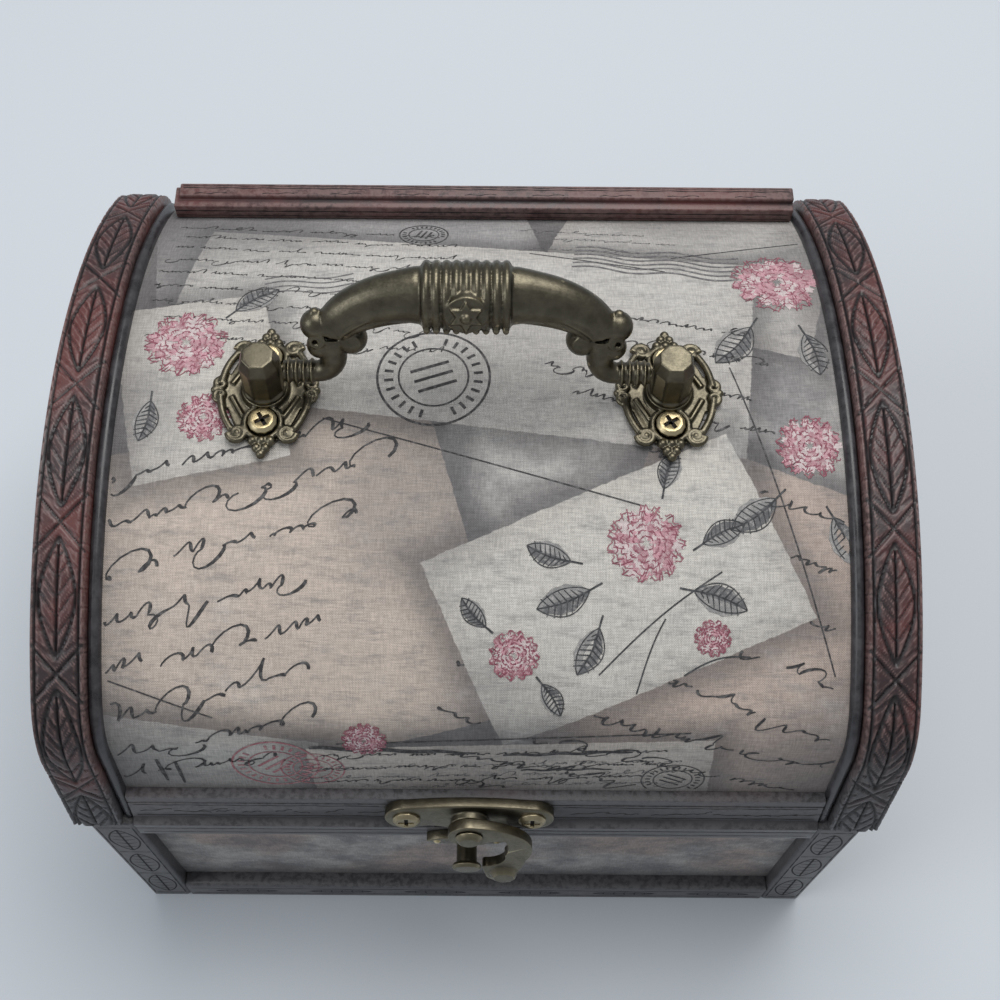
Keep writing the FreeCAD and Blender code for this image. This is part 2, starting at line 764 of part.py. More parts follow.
def make_lid_shells():
    panel = dome_shell(-cloth_thickness - lid_board, -cloth_thickness, -frame_inner, frame_inner)
    cloth = dome_shell(-cloth_thickness, 0, -frame_inner, frame_inner)
    inner = end_board_inner - seam_gap
    lining = dome_shell(-cloth_thickness - lid_board - lining_thickness, -cloth_thickness - lid_board,
                        -frame_inner, frame_inner)
    panel = cut_hinge_seats(panel.cut(handle_holes()).cut(latch_holes()), True)
    cloth = cut_hinge_seats(cloth.cut(handle_holes()).cut(latch_holes()), True)
    low = seam + leaf_thickness + lining_drop
    lining = lining.common(box(-inner, inner, -half_depth, half_depth, low, lid_top))
    return {"dome_panel": panel, "dome_cloth": cloth, "lid_lining": lining}


def make_lid_rail(outer, height, x_reach):
    rail = dome_shell(0, outer, -x_reach, x_reach)
    return rail.common(box(-x_reach, x_reach, -2 * half_depth, 2 * half_depth, seam, seam + height))


def make_front_rail():
    rail = make_lid_rail(front_rail_proud, front_rail_height, bead_inner)
    rail = rail.common(box(-bead_inner, bead_inner, -2 * half_depth, 0, seam, lid_top))
    groove_z = seam + front_rail_height - groove_drop
    deep = front_side.y(front_rail_proud, groove_z) - groove_depth
    rail = rail.cut(box(-bead_inner, bead_inner, -2 * half_depth, -deep, groove_z - groove_depth, groove_z))
    return rail.fuse(make_front_lip()).removeSplitter().cut(latch_holes())


def make_front_lip():
    front = -half_depth - front_lip_reach
    top = seam + front_lip_height
    inner = -front_half / 2
    section = [Vector(0, inner, seam), Vector(0, front, seam), Vector(0, front, seam + front_lip_edge),
               Vector(0, -front_side.y(front_rail_proud, top), top), Vector(0, inner, top)]
    face = Part.Face(outline(section))
    face.translate(Vector(-bead_inner, 0, 0))
    lip = face.extrude(Vector(2 * bead_inner, 0, 0)).cut(dome(0, -lid_half, lid_half, seam - 5))
    reach = latch_waist_x + front_lip_gap
    notch = box(latch_offset - reach, latch_offset + reach, 2 * front, inner, seam - 1, top + 1)
    return lip.cut(notch.cut(dome(front_rail_proud, -lid_half, lid_half, seam - 5)))


def make_back_rail():
    over = half_depth + back_overhang
    top = seam + back_rail_height
    inner = back_half / 2
    section = [Vector(0, inner, seam), Vector(0, over, seam), Vector(0, over, seam + 0.35 * back_rail_height),
               Vector(0, back_side.y(front_rail_proud, top), top), Vector(0, inner, top)]
    face = Part.Face(outline(section))
    face.translate(Vector(-bead_inner, 0, 0))
    rail = face.extrude(Vector(2 * bead_inner, 0, 0))
    rail = rail.cut(dome(0, -lid_half, lid_half, seam - 5))
    return cut_hinge_seats(rail, True)


def make_end_frame():
    return dome_shell(end_inner_offset, end_frame_proud, frame_inner, lid_half)


def make_end_pieces():
    board = dome(end_inner_offset, end_board_inner, end_board_outer)
    cloth = dome(end_inner_offset, end_board_outer, end_board_outer + cloth_thickness, seam + end_sill_height)
    sill = dome(end_inner_offset, end_board_outer, lid_half).common(
        box(0, lid_half, -half_depth, half_depth, seam, seam + end_sill_height))
    return {"end_board": board, "end_cloth": cloth, "end_sill": sill}


def make_bead():
    low = dome_shell(0, bead_shoulder, bead_inner, frame_inner)
    middle = (bead_inner + frame_inner) / 2
    high = dome_shell(0, bead_height, middle - bead_crest / 2, middle + bead_crest / 2)
    return fused([low, high])


def make_batten():
    left = -bead_inner + batten_left_gap
    right = bead_inner - batten_right_gap
    ledge_z = body_height + batten_low_height
    high_z = body_height + batten_high_height
    back = batten_front + batten_depth
    low = box(left, right, batten_front, back, ledge_z - batten_thickness, ledge_z)
    high = box(left + batten_step_in, right, batten_front + batten_ledge, back, ledge_z - 1, high_z)
    batten = fused([low, high])
    arris = edges_where(batten, lambda e: runs_along(e, Vector(1, 0, 0)) and e.Vertexes[0].Z > ledge_z + 1e-6)
    batten = batten.makeFillet(0.6, arris)
    return batten.cut(dome(0, -lid_half, lid_half, seam - 5))


# Rosettes and posts
def rosette_beads():
    centres = []
    for row, count in ((0, 3), (1, 2), (2, 1)):
        y = rosette_half_length - bead_radius - (2 - row) * bead_row_pitch * bead_radius
        for index in range(count):
            centres.append(((index - (count - 1) / 2) * bead_pitch * bead_radius, y))
    return centres


def standing(radius, x, y, sides=rosette_sides):
    # A pillar through the dome's top, its flat face at the rosette's relief
    low = Vector(x, y, lid_top - standing_reach)
    return rod(radius, low, Vector(0, 0, 1), front_side.crown_height(rosette_relief, y) - low.z, sides)


def standing_bar(x0, y0, x1, y1):
    length = math.hypot(x1 - x0, y1 - y0)
    turn = math.degrees(math.atan2(y1 - y0, x1 - x0))
    top = front_side.crown_height(rosette_relief, y1)
    shape = box(0, length, -rosette_bar, rosette_bar, lid_top - standing_reach, top)
    shape.rotate(Vector(0, 0, 0), Vector(0, 0, 1), turn)
    shape.translate(Vector(x0, y0, 0))
    return shape


def make_rosette_web():
    # A plate with two slopes, cut to the rosette's outline
    end = rosette_half_length
    low = lid_top - standing_reach
    end_z = front_side.crown_height(rosette_web, end)
    section = [Vector(0, -end, low), Vector(0, end, low), Vector(0, end, end_z),
               Vector(0, 0, lid_top + rosette_web), Vector(0, -end, end_z)]
    roof = Part.Face(outline(section)).extrude(Vector(2 * rosette_half_width, 0, 0))
    roof.translate(Vector(-rosette_half_width, 0, 0))
    quarter = [(rosette_half_width - rosette_tip_radius, 0), (rosette_shoulder_x, rosette_shoulder_y),
               (0, rosette_half_length - rosette_end_margin)]
    half = quarter + [(-x, y) for x, y in reversed(quarter[:2])]
    whole = half + [(x, -y) for x, y in reversed(half[1:-1])]
    plan = Part.Face(outline([Vector(x, y, low) for x, y in whole])).extrude(Vector(0, 0, 2 * standing_reach))
    return roof.common(plan)


def make_rosette(x):
    tip_x = rosette_half_width - rosette_tip_radius
    raised = [make_rosette_web(), standing(post_foot_radius + rosette_pad_margin, 0, 0)]
    for side in (-1, 1):
        raised.append(standing(rosette_tip_radius, side * tip_x, 0))
        for up in (-1, 1):
            shoulder = (side * rosette_shoulder_x, up * rosette_shoulder_y)
            raised.append(standing(rosette_scroll_radius, *shoulder))
            raised.append(standing_bar(side * tip_x, 0, *shoulder))
    for up in (-1, 1):
        raised.append(standing(rosette_seat_radius, 0, up * rosette_screw_reach, small_sides))
        raised += [standing(bead_radius, across, up * along, bead_sides) for across, along in rosette_beads()]
    rosette = fused(raised)
    rosette.translate(Vector(x, handle_setback, 0))
    rosette = rosette.cut(dome(0, -lid_half, lid_half))
    for up in (-1, 1):
        y = handle_setback + up * rosette_screw_reach
        for radius, z in ((handle_screw_shank, handle_screw_end), (handle_screw_head, handle_screw_seat)):
            rosette = rosette.cut(turned_rod(radius + screw_clearance, Vector(x, y, z)))
    return rosette


def make_post(x):
    up = Vector(0, 0, 1)
    base = Vector(0, 0, rosette_relief)
    cap = Vector(0, 0, post_height - post_cap_height)
    post = fused([rod(post_foot_radius, base, up, post_foot_height, post_sides),
                  rod(post_radius, base, up, cap.z - base.z, post_sides),
                  bevelled_head(post_radius, post_cap_radius, post_cap_height, cap, up, post_sides)])
    post.translate(Vector(x, handle_setback, lid_top))
    inward = 1 if x < handle_offset else -1
    bore_start = Vector(x + inward * post_radius * 2, handle_setback, lid_top + pivot_height)
    return post.cut(cylinder(pin_radius + pin_clearance, bore_start, Vector(-inward, 0, 0),
                             post_radius + pin_length + bail_gap))


def make_handle_screws():
    screws = []
    for place in handle_screw_places():
        screw = make_cross_screw(handle_screw_head, handle_screw_rise, handle_screw_shank,
                                 handle_screw_seat - handle_screw_end)
        screw.rotate(Vector(0, 0, 0), Vector(0, 0, 1), handle_screw_turn)
        screw.translate(place + Vector(0, 0, handle_screw_seat))
        screws.append(screw)
    return Part.makeCompound(screws)


# The cast bail, drawn upright about its pins: x along the handle, z up
def bail_ring(x, z, angle, in_plane, half_thickness):
    # A section across the bail, whose middle line heads down from the x axis by the angle
    turn = Rotation(Vector(0, 1, 0), angle - 90)
    flat = corners(bail_sides, in_plane, half_thickness)
    return [turn.multVec(corner) + Vector(x, 0, z) for corner in flat]


def make_arm():
    start = cushion_length / 2 - cushion_overlap
    span = knot_out - start
    drop = arch_height - knot_up
    rings = []
    for step in range(arm_stations + 1):
        share = step / arm_stations
        turn = math.radians(arm_sweep * share)
        x = start + span * math.sin(turn)
        z = arch_height - drop * (1 - math.cos(turn))
        size = 1 - arm_narrowing * share
        rings.append(bail_ring(x, z, arm_sweep * share, arch_radius * size, arch_thickness / 2 * size))
    return skinned(rings)


def make_neck():
    end = post_spacing / 2 - post_radius - bail_gap
    bend_middle = neck_bend * (1 - math.cos(math.radians(45)))
    rings = [bail_ring(knot_out, knot_up, 90, neck_radius, neck_radius),
             bail_ring(knot_out, neck_bend, 90, neck_radius, neck_radius),
             bail_ring(knot_out + bend_middle, bend_middle, 45, neck_radius, neck_radius),
             bail_ring(knot_out + neck_bend, 0, 0, neck_end_radius, neck_end_radius)]
    first = knot_out + neck_bend + neck_ring_start
    for index in range(neck_ring_count):
        x = first + neck_ring_pitch * index
        rings.append(bail_ring(x, 0, 0, neck_end_radius, neck_end_radius))
        rings.append(bail_ring(x + neck_ring_pitch / 2, 0, 0, neck_ring_radius, neck_ring_radius))
    rings.append(bail_ring(end, 0, 0, neck_end_radius, neck_end_radius))
    pin = cylinder(pin_radius, Vector(end, 0, 0), Vector(1, 0, 0), bail_gap + pin_length)
    return [skinned(rings), pin]


def make_cushion():
    pitch = cushion_length / cushion_rib_count
    low = -cushion_length / 2
    crest = cushion_core_radius + cushion_rib_height
    stations = [(low, cushion_core_radius)]
    for index in range(cushion_rib_count):
        start = low + index * pitch
        stations.append((start + 0.25 * pitch, crest))
        stations.append((start + 0.75 * pitch, crest))
        stations.append((start + pitch, cushion_core_radius))
    rings = []
    for x, radius in stations:
        ring = polygon(cushion_sides, radius)
        ring.rotate(Vector(0, 0, 0), Vector(0, 1, 0), 90)
        ring.translate(Vector(x, 0, arch_height))
        rings.append(ring)
    return Part.makeLoft(rings, True, True)


def make_nub(radius, x, z):
    # A rounded lump of the knots, flat at both ends
    rings = []
    for level, share in ((-0.9, 0.45), (-0.5, 0.87), (0.5, 0.87), (0.9, 0.45)):
        rings.append(polygon(nub_sides, radius * share, radius * level))
    nub = Part.makeLoft(rings, True, True)
    nub.translate(Vector(x, 0, z))
    return nub


def make_star():
    points = []
    for index in range(2 * star_points):
        radius = star_radius if index % 2 == 0 else star_waist
        turn = math.pi * (0.5 + index / star_points)
        points.append(Vector(radius * math.cos(turn), 0, radius * math.sin(turn)))
    face = cushion_core_radius + cushion_rib_height + star_field_rise
    star = Part.Face(outline(points)).extrude(Vector(0, -star_height, 0))
    field = rod(star_radius + star_margin, Vector(0, 0, 0), Vector(0, 1, 0), face)
    boss = bevelled_head(star_waist - star_boss_height, star_waist / 3, star_boss_height,
                         Vector(0, -star_height, 0), Vector(0, -1, 0))
    badge = fused([field, star, boss])
    badge.translate(Vector(0, -face, arch_height))
    return badge


def make_bail():
    half = [make_arm()] + make_neck()
    lumps = ((nub_radius, upper_nub_out, upper_nub_up), (lower_nub_radius, lower_nub_out, lower_nub_up),
             (curl_radius, curl_out, curl_up))
    for radius, out, up in lumps:
        half.append(make_nub(radius, knot_out + out, knot_up + up))
    pieces = [make_cushion(), make_star()] + half + [mirrored_x(piece) for piece in half]
    bail = fused(pieces)
    bail.rotate(Vector(0, 0, 0), Vector(1, 0, 0), -bail_lean)
    bail.translate(Vector(handle_offset, handle_setback, lid_top + pivot_height))
    return bail


def main():
    os.makedirs("parts", exist_ok=True)
    nodes = make_boards()
    nodes["back_board"] = cut_hinge_seats(nodes["back_board"], False)
    nodes.update(make_body_cloths())
    nodes["body_lining"] = make_body_lining()
    nodes.update(make_rails())
    nodes["back_top_rail"] = cut_hinge_seats(nodes["back_top_rail"], False)
    nodes["front_top_rail"] = nodes["front_top_rail"].cut(catch_pin_holes())
    post = make_corner_post()
    nodes["front_left_post"] = post
    nodes["front_right_post"] = mirrored_x(post)
    nodes["back_left_post"] = post.mirror(Vector(0, 0, 0), Vector(0, 1, 0))
    nodes["back_right_post"] = mirrored_x(nodes["back_left_post"])
    nodes.update(make_hinges())
    nodes.update(make_lid_shells())
    nodes["lid_front_rail"] = make_front_rail()
    nodes["lid_back_rail"] = make_back_rail()
    nodes["right_end_frame"] = make_end_frame()
    nodes["left_end_frame"] = mirrored_x(nodes["right_end_frame"])
    for name, shape in make_end_pieces().items():
        nodes["right_" + name] = shape
        nodes["left_" + name] = mirrored_x(shape)
    nodes["right_bead"] = make_bead()
    nodes["left_bead"] = mirrored_x(nodes["right_bead"])
    nodes["back_batten"] = make_batten()
    for side, name in ((-1, "left"), (1, "right")):
        x = handle_offset + side * post_spacing / 2
        nodes[name + "_rosette"] = make_rosette(x)
        nodes[name + "_handle_post"] = make_post(x)
    nodes["handle_screws"] = make_handle_screws()
    nodes["bail_handle"] = make_bail()
    nodes["latch_plate"] = on_rail(make_latch_plate())
    nodes["latch_rivet"] = on_rail(make_latch_rivet())
    nodes["latch_screws"] = make_latch_screws()
    nodes["latch_hook"] = on_rail(make_latch_hook())
    nodes["catch_plate"] = make_catch_plate()
    nodes["catch_peg"] = make_catch_peg()
    nodes["catch_pins"] = make_catch_pins()
    for name, shape in nodes.items():
        save(name, shape)
    print("latch pivot", round(latch_offset, 3), round(latch_pivot_y, 3), round(latch_pivot_z, 3))
    print("hinge axis", hinge_y, hinge_z, "bail axis", handle_setback, lid_top + pivot_height)


main()
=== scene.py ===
import bpy
import json
import math
import random
from mathutils import Matrix, Vector

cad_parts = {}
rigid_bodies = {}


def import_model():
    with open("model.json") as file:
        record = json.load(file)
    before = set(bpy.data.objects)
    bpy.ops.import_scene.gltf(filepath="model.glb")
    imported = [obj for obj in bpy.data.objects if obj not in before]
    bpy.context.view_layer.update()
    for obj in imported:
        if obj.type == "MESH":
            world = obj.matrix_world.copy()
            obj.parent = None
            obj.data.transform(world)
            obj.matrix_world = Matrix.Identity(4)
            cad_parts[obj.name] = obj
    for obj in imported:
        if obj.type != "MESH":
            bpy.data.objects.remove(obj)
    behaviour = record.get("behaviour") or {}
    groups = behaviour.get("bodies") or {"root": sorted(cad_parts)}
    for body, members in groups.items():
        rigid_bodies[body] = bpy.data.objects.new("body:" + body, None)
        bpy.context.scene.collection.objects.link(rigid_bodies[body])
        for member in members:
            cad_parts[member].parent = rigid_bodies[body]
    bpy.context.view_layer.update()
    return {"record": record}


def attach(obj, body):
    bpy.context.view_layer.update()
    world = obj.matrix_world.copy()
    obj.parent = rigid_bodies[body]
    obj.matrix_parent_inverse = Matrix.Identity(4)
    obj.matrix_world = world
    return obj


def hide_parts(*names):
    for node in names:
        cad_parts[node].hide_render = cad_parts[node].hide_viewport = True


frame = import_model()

mm = 0.001

# the lid's profile, which every piece on the dome follows (millimetres, degrees)
lidShape = {
    "rim": 75.0, "seam": 75.2, "apex": 136.0,
    "front": {"half": 76.7, "crown": 112.0, "shoulder": 18.0, "lean": 10.0},
    "back": {"half": 79.0, "crown": 116.0, "shoulder": 18.0, "lean": 6.0},
}


def lidArcs(half, crown, shoulder, lean):
    lean = math.radians(lean)
    crownZ = lidShape["apex"] - crown
    start = Vector((half - shoulder * math.cos(lean),
                    lidShape["rim"] - shoulder * math.sin(lean) - crownZ))
    up = Vector((-math.sin(lean), math.cos(lean)))
    middle = start.dot(up)
    rise = -middle + math.sqrt(middle ** 2 - start.dot(start) + (crown - shoulder) ** 2)
    centre = start + up * rise
    crownTurn = math.atan2(centre.x, centre.y)
    sideTurn = math.pi / 2 - lean
    crownLength = crown * crownTurn
    shoulderLength = shoulder * (sideTurn - crownTurn)
    foot = centre.y + crownZ + shoulder * math.cos(sideTurn)
    reach = crownLength + shoulderLength + (foot - lidShape["seam"]) / math.sin(sideTurn)
    return {"crown": crown, "shoulder": shoulder, "crownZ": crownZ, "centre": centre,
            "crownTurn": crownTurn, "sideTurn": sideTurn, "crownLength": crownLength,
            "shoulderLength": shoulderLength, "reach": reach}


frontArcs = lidArcs(**lidShape["front"])
backArcs = lidArcs(**lidShape["back"])
frontReach = frontArcs["reach"]
lidReach = frontReach + backArcs["reach"]


def onLid(across, along, lift=0.0):
    # a spot on the dome, in millimetres over the cloth from its middle; along is positive to the back
    arcs = backArcs if along > 0 else frontArcs
    a = abs(along)
    if a < arcs["crownLength"]:
        turn = a / arcs["crown"]
        y = (arcs["crown"] + lift) * math.sin(turn)
        z = arcs["crownZ"] + (arcs["crown"] + lift) * math.cos(turn)
    else:
        radius = arcs["shoulder"] + lift
        turn = min(arcs["crownTurn"] + (a - arcs["crownLength"]) / arcs["shoulder"], arcs["sideTurn"])
        down = max(0.0, a - arcs["crownLength"] - arcs["shoulderLength"])
        y = arcs["centre"].x + radius * math.sin(turn) + down * math.cos(turn)
        z = arcs["centre"].y + arcs["crownZ"] + radius * math.cos(turn) - down * math.sin(turn)
    return Vector((across, math.copysign(y, along), z)) * mm


def overLid(share):
    # from the front seam at 0 to the back seam at 1, as millimetres from the middle
    return share * lidReach - frontReach


def clearChoice():
    if bpy.context.object and bpy.context.object.mode != "OBJECT":
        bpy.ops.object.mode_set(mode="OBJECT")
    bpy.ops.object.select_all(action="DESELECT")


def choose(obj):
    clearChoice()
    obj.select_set(True)
    bpy.context.view_layer.objects.active = obj


def applyAll(obj):
    choose(obj)
    for modifier in list(obj.modifiers):
        bpy.ops.object.modifier_apply(modifier=modifier.name)


def settle(obj, name):
    choose(obj)
    obj.name = name
    obj.data.name = name
    bpy.ops.object.transform_apply(location=True, rotation=True, scale=True)
    return obj


def joinAll(objects, name):
    clearChoice()
    for obj in objects:
        obj.select_set(True)
    bpy.context.view_layer.objects.active = objects[0]
    bpy.ops.object.join()
    return settle(bpy.context.object, name)


def smoothByAngle(obj, degrees=35):
    choose(obj)
    bpy.ops.object.shade_smooth_by_angle(angle=math.radians(degrees))


def finishPiece(obj, body, material, nodes=()):
    obj.data.materials.clear()
    obj.data.materials.append(material)
    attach(obj, body)
    if nodes:
        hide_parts(*nodes)
    return obj


def meshObject(name, verts, faces):
    mesh = bpy.data.meshes.new(name)
    mesh.from_pydata(verts, [], faces)
    mesh.update()
    obj = bpy.data.objects.new(name, mesh)
    bpy.context.scene.collection.objects.link(obj)
    return obj


def editAll(obj):
    choose(obj)
    bpy.ops.object.mode_set(mode="EDIT")
    bpy.ops.mesh.select_all(action="SELECT")


def newMaterial(name, colour, roughness, metallic=0.0):
    material = bpy.data.materials.new(name)
    material.use_nodes = True
    shader = material.node_tree.nodes["Principled BSDF"]
    shader.inputs["Base Color"].default_value = (*colour, 1)
    shader.inputs["Roughness"].default_value = roughness
    shader.inputs["Metallic"].default_value = metallic
    return material, material.node_tree, shader


def put(tree, kind, settings=None, **inputs):
    made = tree.nodes.new("ShaderNode" + kind)
    for key, value in (settings or {}).items():
        setattr(made, key, value)
    for key, value in inputs.items():
        byNumber = key[0] == "i" and key[1:].isdigit()
        socket = made.inputs[int(key[1:]) if byNumber else key.replace("_", " ")]
        if isinstance(value, bpy.types.NodeSocket):
            tree.links.new(value, socket)
        else:
            socket.default_value = value
    return made


def sums(tree, operation, a, b=0.0, c=0.0):
    return put(tree, "Math", {"operation": operation}, i0=a, i1=b, i2=c).outputs[0]


def blendColour(tree, factor, a, b, mode="MIX"):
    mix = tree.nodes.new("ShaderNodeMix")
    mix.data_type = "RGBA"
    mix.blend_type = mode
    for index, value in ((0, factor), (6, a), (7, b)):
        if isinstance(value, bpy.types.NodeSocket):
            tree.links.new(value, mix.inputs[index])
        elif index:
            mix.inputs[index].default_value = (*value, 1)
        else:
            mix.inputs[index].default_value = value
    return mix.outputs[2]


def step(tree, value, low, high, fromZero=0.0, toOne=1.0):
    return put(tree, "MapRange", {"interpolation_type": "SMOOTHSTEP"}, Value=value,
               From_Min=low, From_Max=high, To_Min=fromZero, To_Max=toOne).outputs[0]


def stainAndPaintedLight(tree, colour, pattern, low, high, deepest, overlay):
    # the overlay colour grows to its deepest where the pattern goes from low to high; it lays stains and
    # faded print, and also painted shade and painted highlights
    return blendColour(tree, step(tree, pattern, low, high, 0.0, deepest), colour, overlay)


def speckle(tree, place, scale, detail=4.0, rough=0.6, stretch=(1, 1, 1)):
    moved = put(tree, "Mapping", Vector=place, Scale=stretch).outputs[0]
    return put(tree, "TexNoise", Vector=moved, Scale=scale, Detail=detail, Roughness=rough).outputs[0]


def inMillimetres(tree):
    place = put(tree, "TexCoord").outputs["Object"]
    return put(tree, "Mapping", Vector=place, Scale=(1000, 1000, 1000)).outputs[0]


def unrolled(tree, added, kept):
    # one flat pattern for faces at right angles: the added axis runs on from the first
    parts = put(tree, "SeparateXYZ", Vector=inMillimetres(tree)).outputs
    return put(tree, "CombineXYZ", X=sums(tree, "ADD", parts[0], parts[added]), Y=parts[kept]).outputs[0]


def bumpFrom(tree, shader, height, strength, depth=0.0003):
    bumped = put(tree, "Bump", Strength=strength, Distance=depth, Height=height)
    tree.links.new(bumped.outputs[0], shader.inputs["Normal"])


def finishSurface(tree, shader, colour, pattern, low, high, bump, depth=0.0003):
    # the pattern sets both the roughness, from low to high, and a little relief
    tree.links.new(colour, shader.inputs["Base Color"])
    tree.links.new(step(tree, pattern, 0.3, 0.7, low, high), shader.inputs["Roughness"])
    bumpFrom(tree, shader, pattern, bump, depth)


linen = {
    "pitch": 0.5, "light": (0.56, 0.54, 0.51), "shade": (0.25, 0.24, 0.24), "pink": (0.54, 0.43, 0.375),
    "paperShadow": (0.085, 0.08, 0.082), "paperRim": (0.26, 0.23, 0.21), "grimeAndShadePatch": (0.13, 0.125, 0.13),
    "brushed": (0.19, 0.185, 0.19), "spots": (0.10, 0.10, 0.105), "washed": (0.60, 0.59, 0.57),
    "sideEdge": (0.11, 0.10, 0.10), "frontEdge": (0.12, 0.115, 0.12),
    "panelGrime": (0.13, 0.125, 0.135), "panelRailShade": (0.07, 0.07, 0.075), "panelMiddle": 39.0,
    "lining": (0.40, 0.35, 0.30), "liningDark": (0.34, 0.29, 0.25), "liningLight": (0.43, 0.38, 0.33),
}
clothGrid = {"across": 56, "along": 150, "half": 82.0, "thick": 0.4, "sunk": 0.05}


def linenThreads(tree, place):
    # place is in millimetres; returns a height for the weave and a streaky light and dark
    parts = put(tree, "SeparateXYZ", Vector=place)
    turns = 2 * math.pi / linen["pitch"]
    warp = sums(tree, "SINE", sums(tree, "MULTIPLY", parts.outputs[0], turns))
    weft = sums(tree, "SINE", sums(tree, "MULTIPLY", parts.outputs[1], turns))
    check = sums(tree, "MULTIPLY", warp, weft)
    slubAlong = speckle(tree, place, 2.2, 3, 0.6, (0.14, 1.4, 1))
    slubAcross = speckle(tree, place, 2.2, 3, 0.6, (1.4, 0.14, 1))
    streak = sums(tree, "ADD", slubAlong, slubAcross)
    height = sums(tree, "ADD", sums(tree, "MULTIPLY", check, 0.45), streak)
    return height, streak


def finishLinen(tree, shader, colour, place, bump=0.35):
    height, streak = linenThreads(tree, place)
    tone = step(tree, streak, 0.75, 1.25, 0.86, 1.08)
    check = step(tree, height, 0.5, 1.6, 0.84, 1.08)
    shade = sums(tree, "MULTIPLY", tone, check)
    shaded = put(tree, "VectorMath", {"operation": "SCALE"}, i0=colour, Scale=shade)
    tree.links.new(shaded.outputs[0], shader.inputs["Base Color"])
    bumpFrom(tree, shader, height, bump)


# sheets of paper printed on the lid's cloth, the lowest first
paperSheets = [
    {"at": (-34, 64), "size": (92, 66), "turn": 9, "tint": (0.37, 0.36, 0.355)},
    {"at": (54, 60), "size": (66, 84), "turn": -16, "tint": (0.47, 0.45, 0.425)},
    {"at": (-52, -48), "size": (104, 78), "turn": 17, "tint": (0.555, 0.47, 0.405)},
    {"at": (62, -66), "size": (84, 92), "turn": -21, "tint": (0.53, 0.43, 0.37)},
    {"at": (-4, 22), "size": (132, 58), "turn": -7, "tint": (0.53, 0.51, 0.48)},
    {"at": (-66, -96), "size": (58, 44), "turn": -9, "tint": (0.50, 0.475, 0.445)},
    {"at": (30, -44), "size": (72, 44), "turn": 24, "tint": (0.585, 0.56, 0.515)},
    {"at": (8, -96), "size": (88, 34), "turn": 2.5, "tint": (0.56, 0.51, 0.46)},
    {"at": (-62, 4), "size": (34, 46), "turn": 12, "tint": (0.55, 0.525, 0.485)},
]
# darker places, partly grime and partly painted shade in front of the back batten and over the front
# shoulder: middle, reach and depth
grimeAndShadePatches = [
    {"at": (-62, 74), "reach": 44, "deep": 0.62}, {"at": (-10, 84), "reach": 30, "deep": 0.50},
    {"at": (46, 80), "reach": 34, "deep": 0.42}, {"at": (78, 40), "reach": 22, "deep": 0.45},
    {"at": (-80, -6), "reach": 20, "deep": 0.40}, {"at": (-14, -26), "reach": 26, "deep": 0.40},
    {"at": (4, -74), "reach": 24, "deep": 0.34}, {"at": (76, -84), "reach": 26, "deep": 0.42},
    {"at": (-80, -84), "reach": 26, "deep": 0.42}, {"at": (10, 4), "reach": 30, "deep": 0.22},
]


def paperOn(tree, place, colour, sheet):
    turned = put(tree, "Mapping", {"vector_type": "TEXTURE"}, Vector=place, Location=(*sheet["at"], 0),
                 Rotation=(0, 0, math.radians(sheet["turn"]))).outputs[0]
    parts = put(tree, "SeparateXYZ", Vector=turned)
    wide = sums(tree, "SUBTRACT", sums(tree, "ABSOLUTE", parts.outputs[0]), sheet["size"][0] / 2)
    tall = sums(tree, "SUBTRACT", sums(tree, "ABSOLUTE", parts.outputs[1]), sheet["size"][1] / 2)
    edge = sums(tree, "MAXIMUM", wide, tall)
    worn = sums(tree, "ADD", edge, sums(tree, "MULTIPLY", speckle(tree, place, 0.35, 4), 1.2))
    shadow = step(tree, worn, 0.4, 10.0, 0.66, 0.0)
    colour = blendColour(tree, shadow, colour, linen["paperShadow"])
    inside = step(tree, worn, 0.85, 0.55)
    rim = step(tree, worn, -7.0, 0.5, 0.0, 0.20)
    paper = blendColour(tree, rim, sheet["tint"], linen["paperRim"])
    return blendColour(tree, inside, colour, paper)


def printedCloth():
    material, tree, shader = newMaterial("printedLinen", linen["light"], 0.82)
    uv = put(tree, "TexCoord").outputs["UV"]
    half = clothGrid["half"]
    place = put(tree, "Mapping", Vector=uv, Scale=(2 * half, lidReach, 1),
                Location=(-half, -frontReach, 0)).outputs[0]
    shade = speckle(tree, place, 0.035, 5, 0.65)
    colour = blendColour(tree, step(tree, shade, 0.38, 0.66), linen["shade"], linen["light"])
    for sheet in paperSheets:
        colour = paperOn(tree, place, colour, sheet)
    # painted shade and grime: each patch darkens the cloth towards its middle, with a ragged edge
    for grimeAndShadePatch in grimeAndShadePatches:
        reach = grimeAndShadePatch["reach"]
        middle = (*grimeAndShadePatch["at"], 0)
        apart = put(tree, "VectorMath", {"operation": "DISTANCE"}, i0=place, i1=middle).outputs["Value"]
        ragged = sums(tree, "ADD", apart, sums(tree, "MULTIPLY", speckle(tree, place, 0.08, 6, 0.75), 26.0))
        colour = stainAndPaintedLight(tree, colour, ragged, 15.0 + reach, 13.0 + 0.3 * reach, grimeAndShadePatch["deep"],
                         linen["grimeAndShadePatch"])
    parts = put(tree, "SeparateXYZ", Vector=place).outputs
    wearAndShade = [
        (speckle(tree, place, 0.10, 8, 0.74, (1.0, 3.5, 1)), 0.46, 0.70, 0.55, "brushed"),
        (speckle(tree, place, 0.9, 6, 0.8), 0.60, 0.72, 0.35, "spots"),
        (speckle(tree, place, 0.05, 6, 0.7), 0.52, 0.78, 0.35, "washed"),
        (sums(tree, "ABSOLUTE", parts[0]), 66.0, 81.0, 0.36, "sideEdge"),
        # painted shade: this tone darkens the cloth towards the front seam, where the dome turns down
        (parts[1], -80.0, -104.0, 0.72, "frontEdge"),
    ]
    for pattern, low, high, deepest, overlay in wearAndShade:
        colour = stainAndPaintedLight(tree, colour, pattern, low, high, deepest, linen[overlay])
    finishLinen(tree, shader, colour, place)
    return material


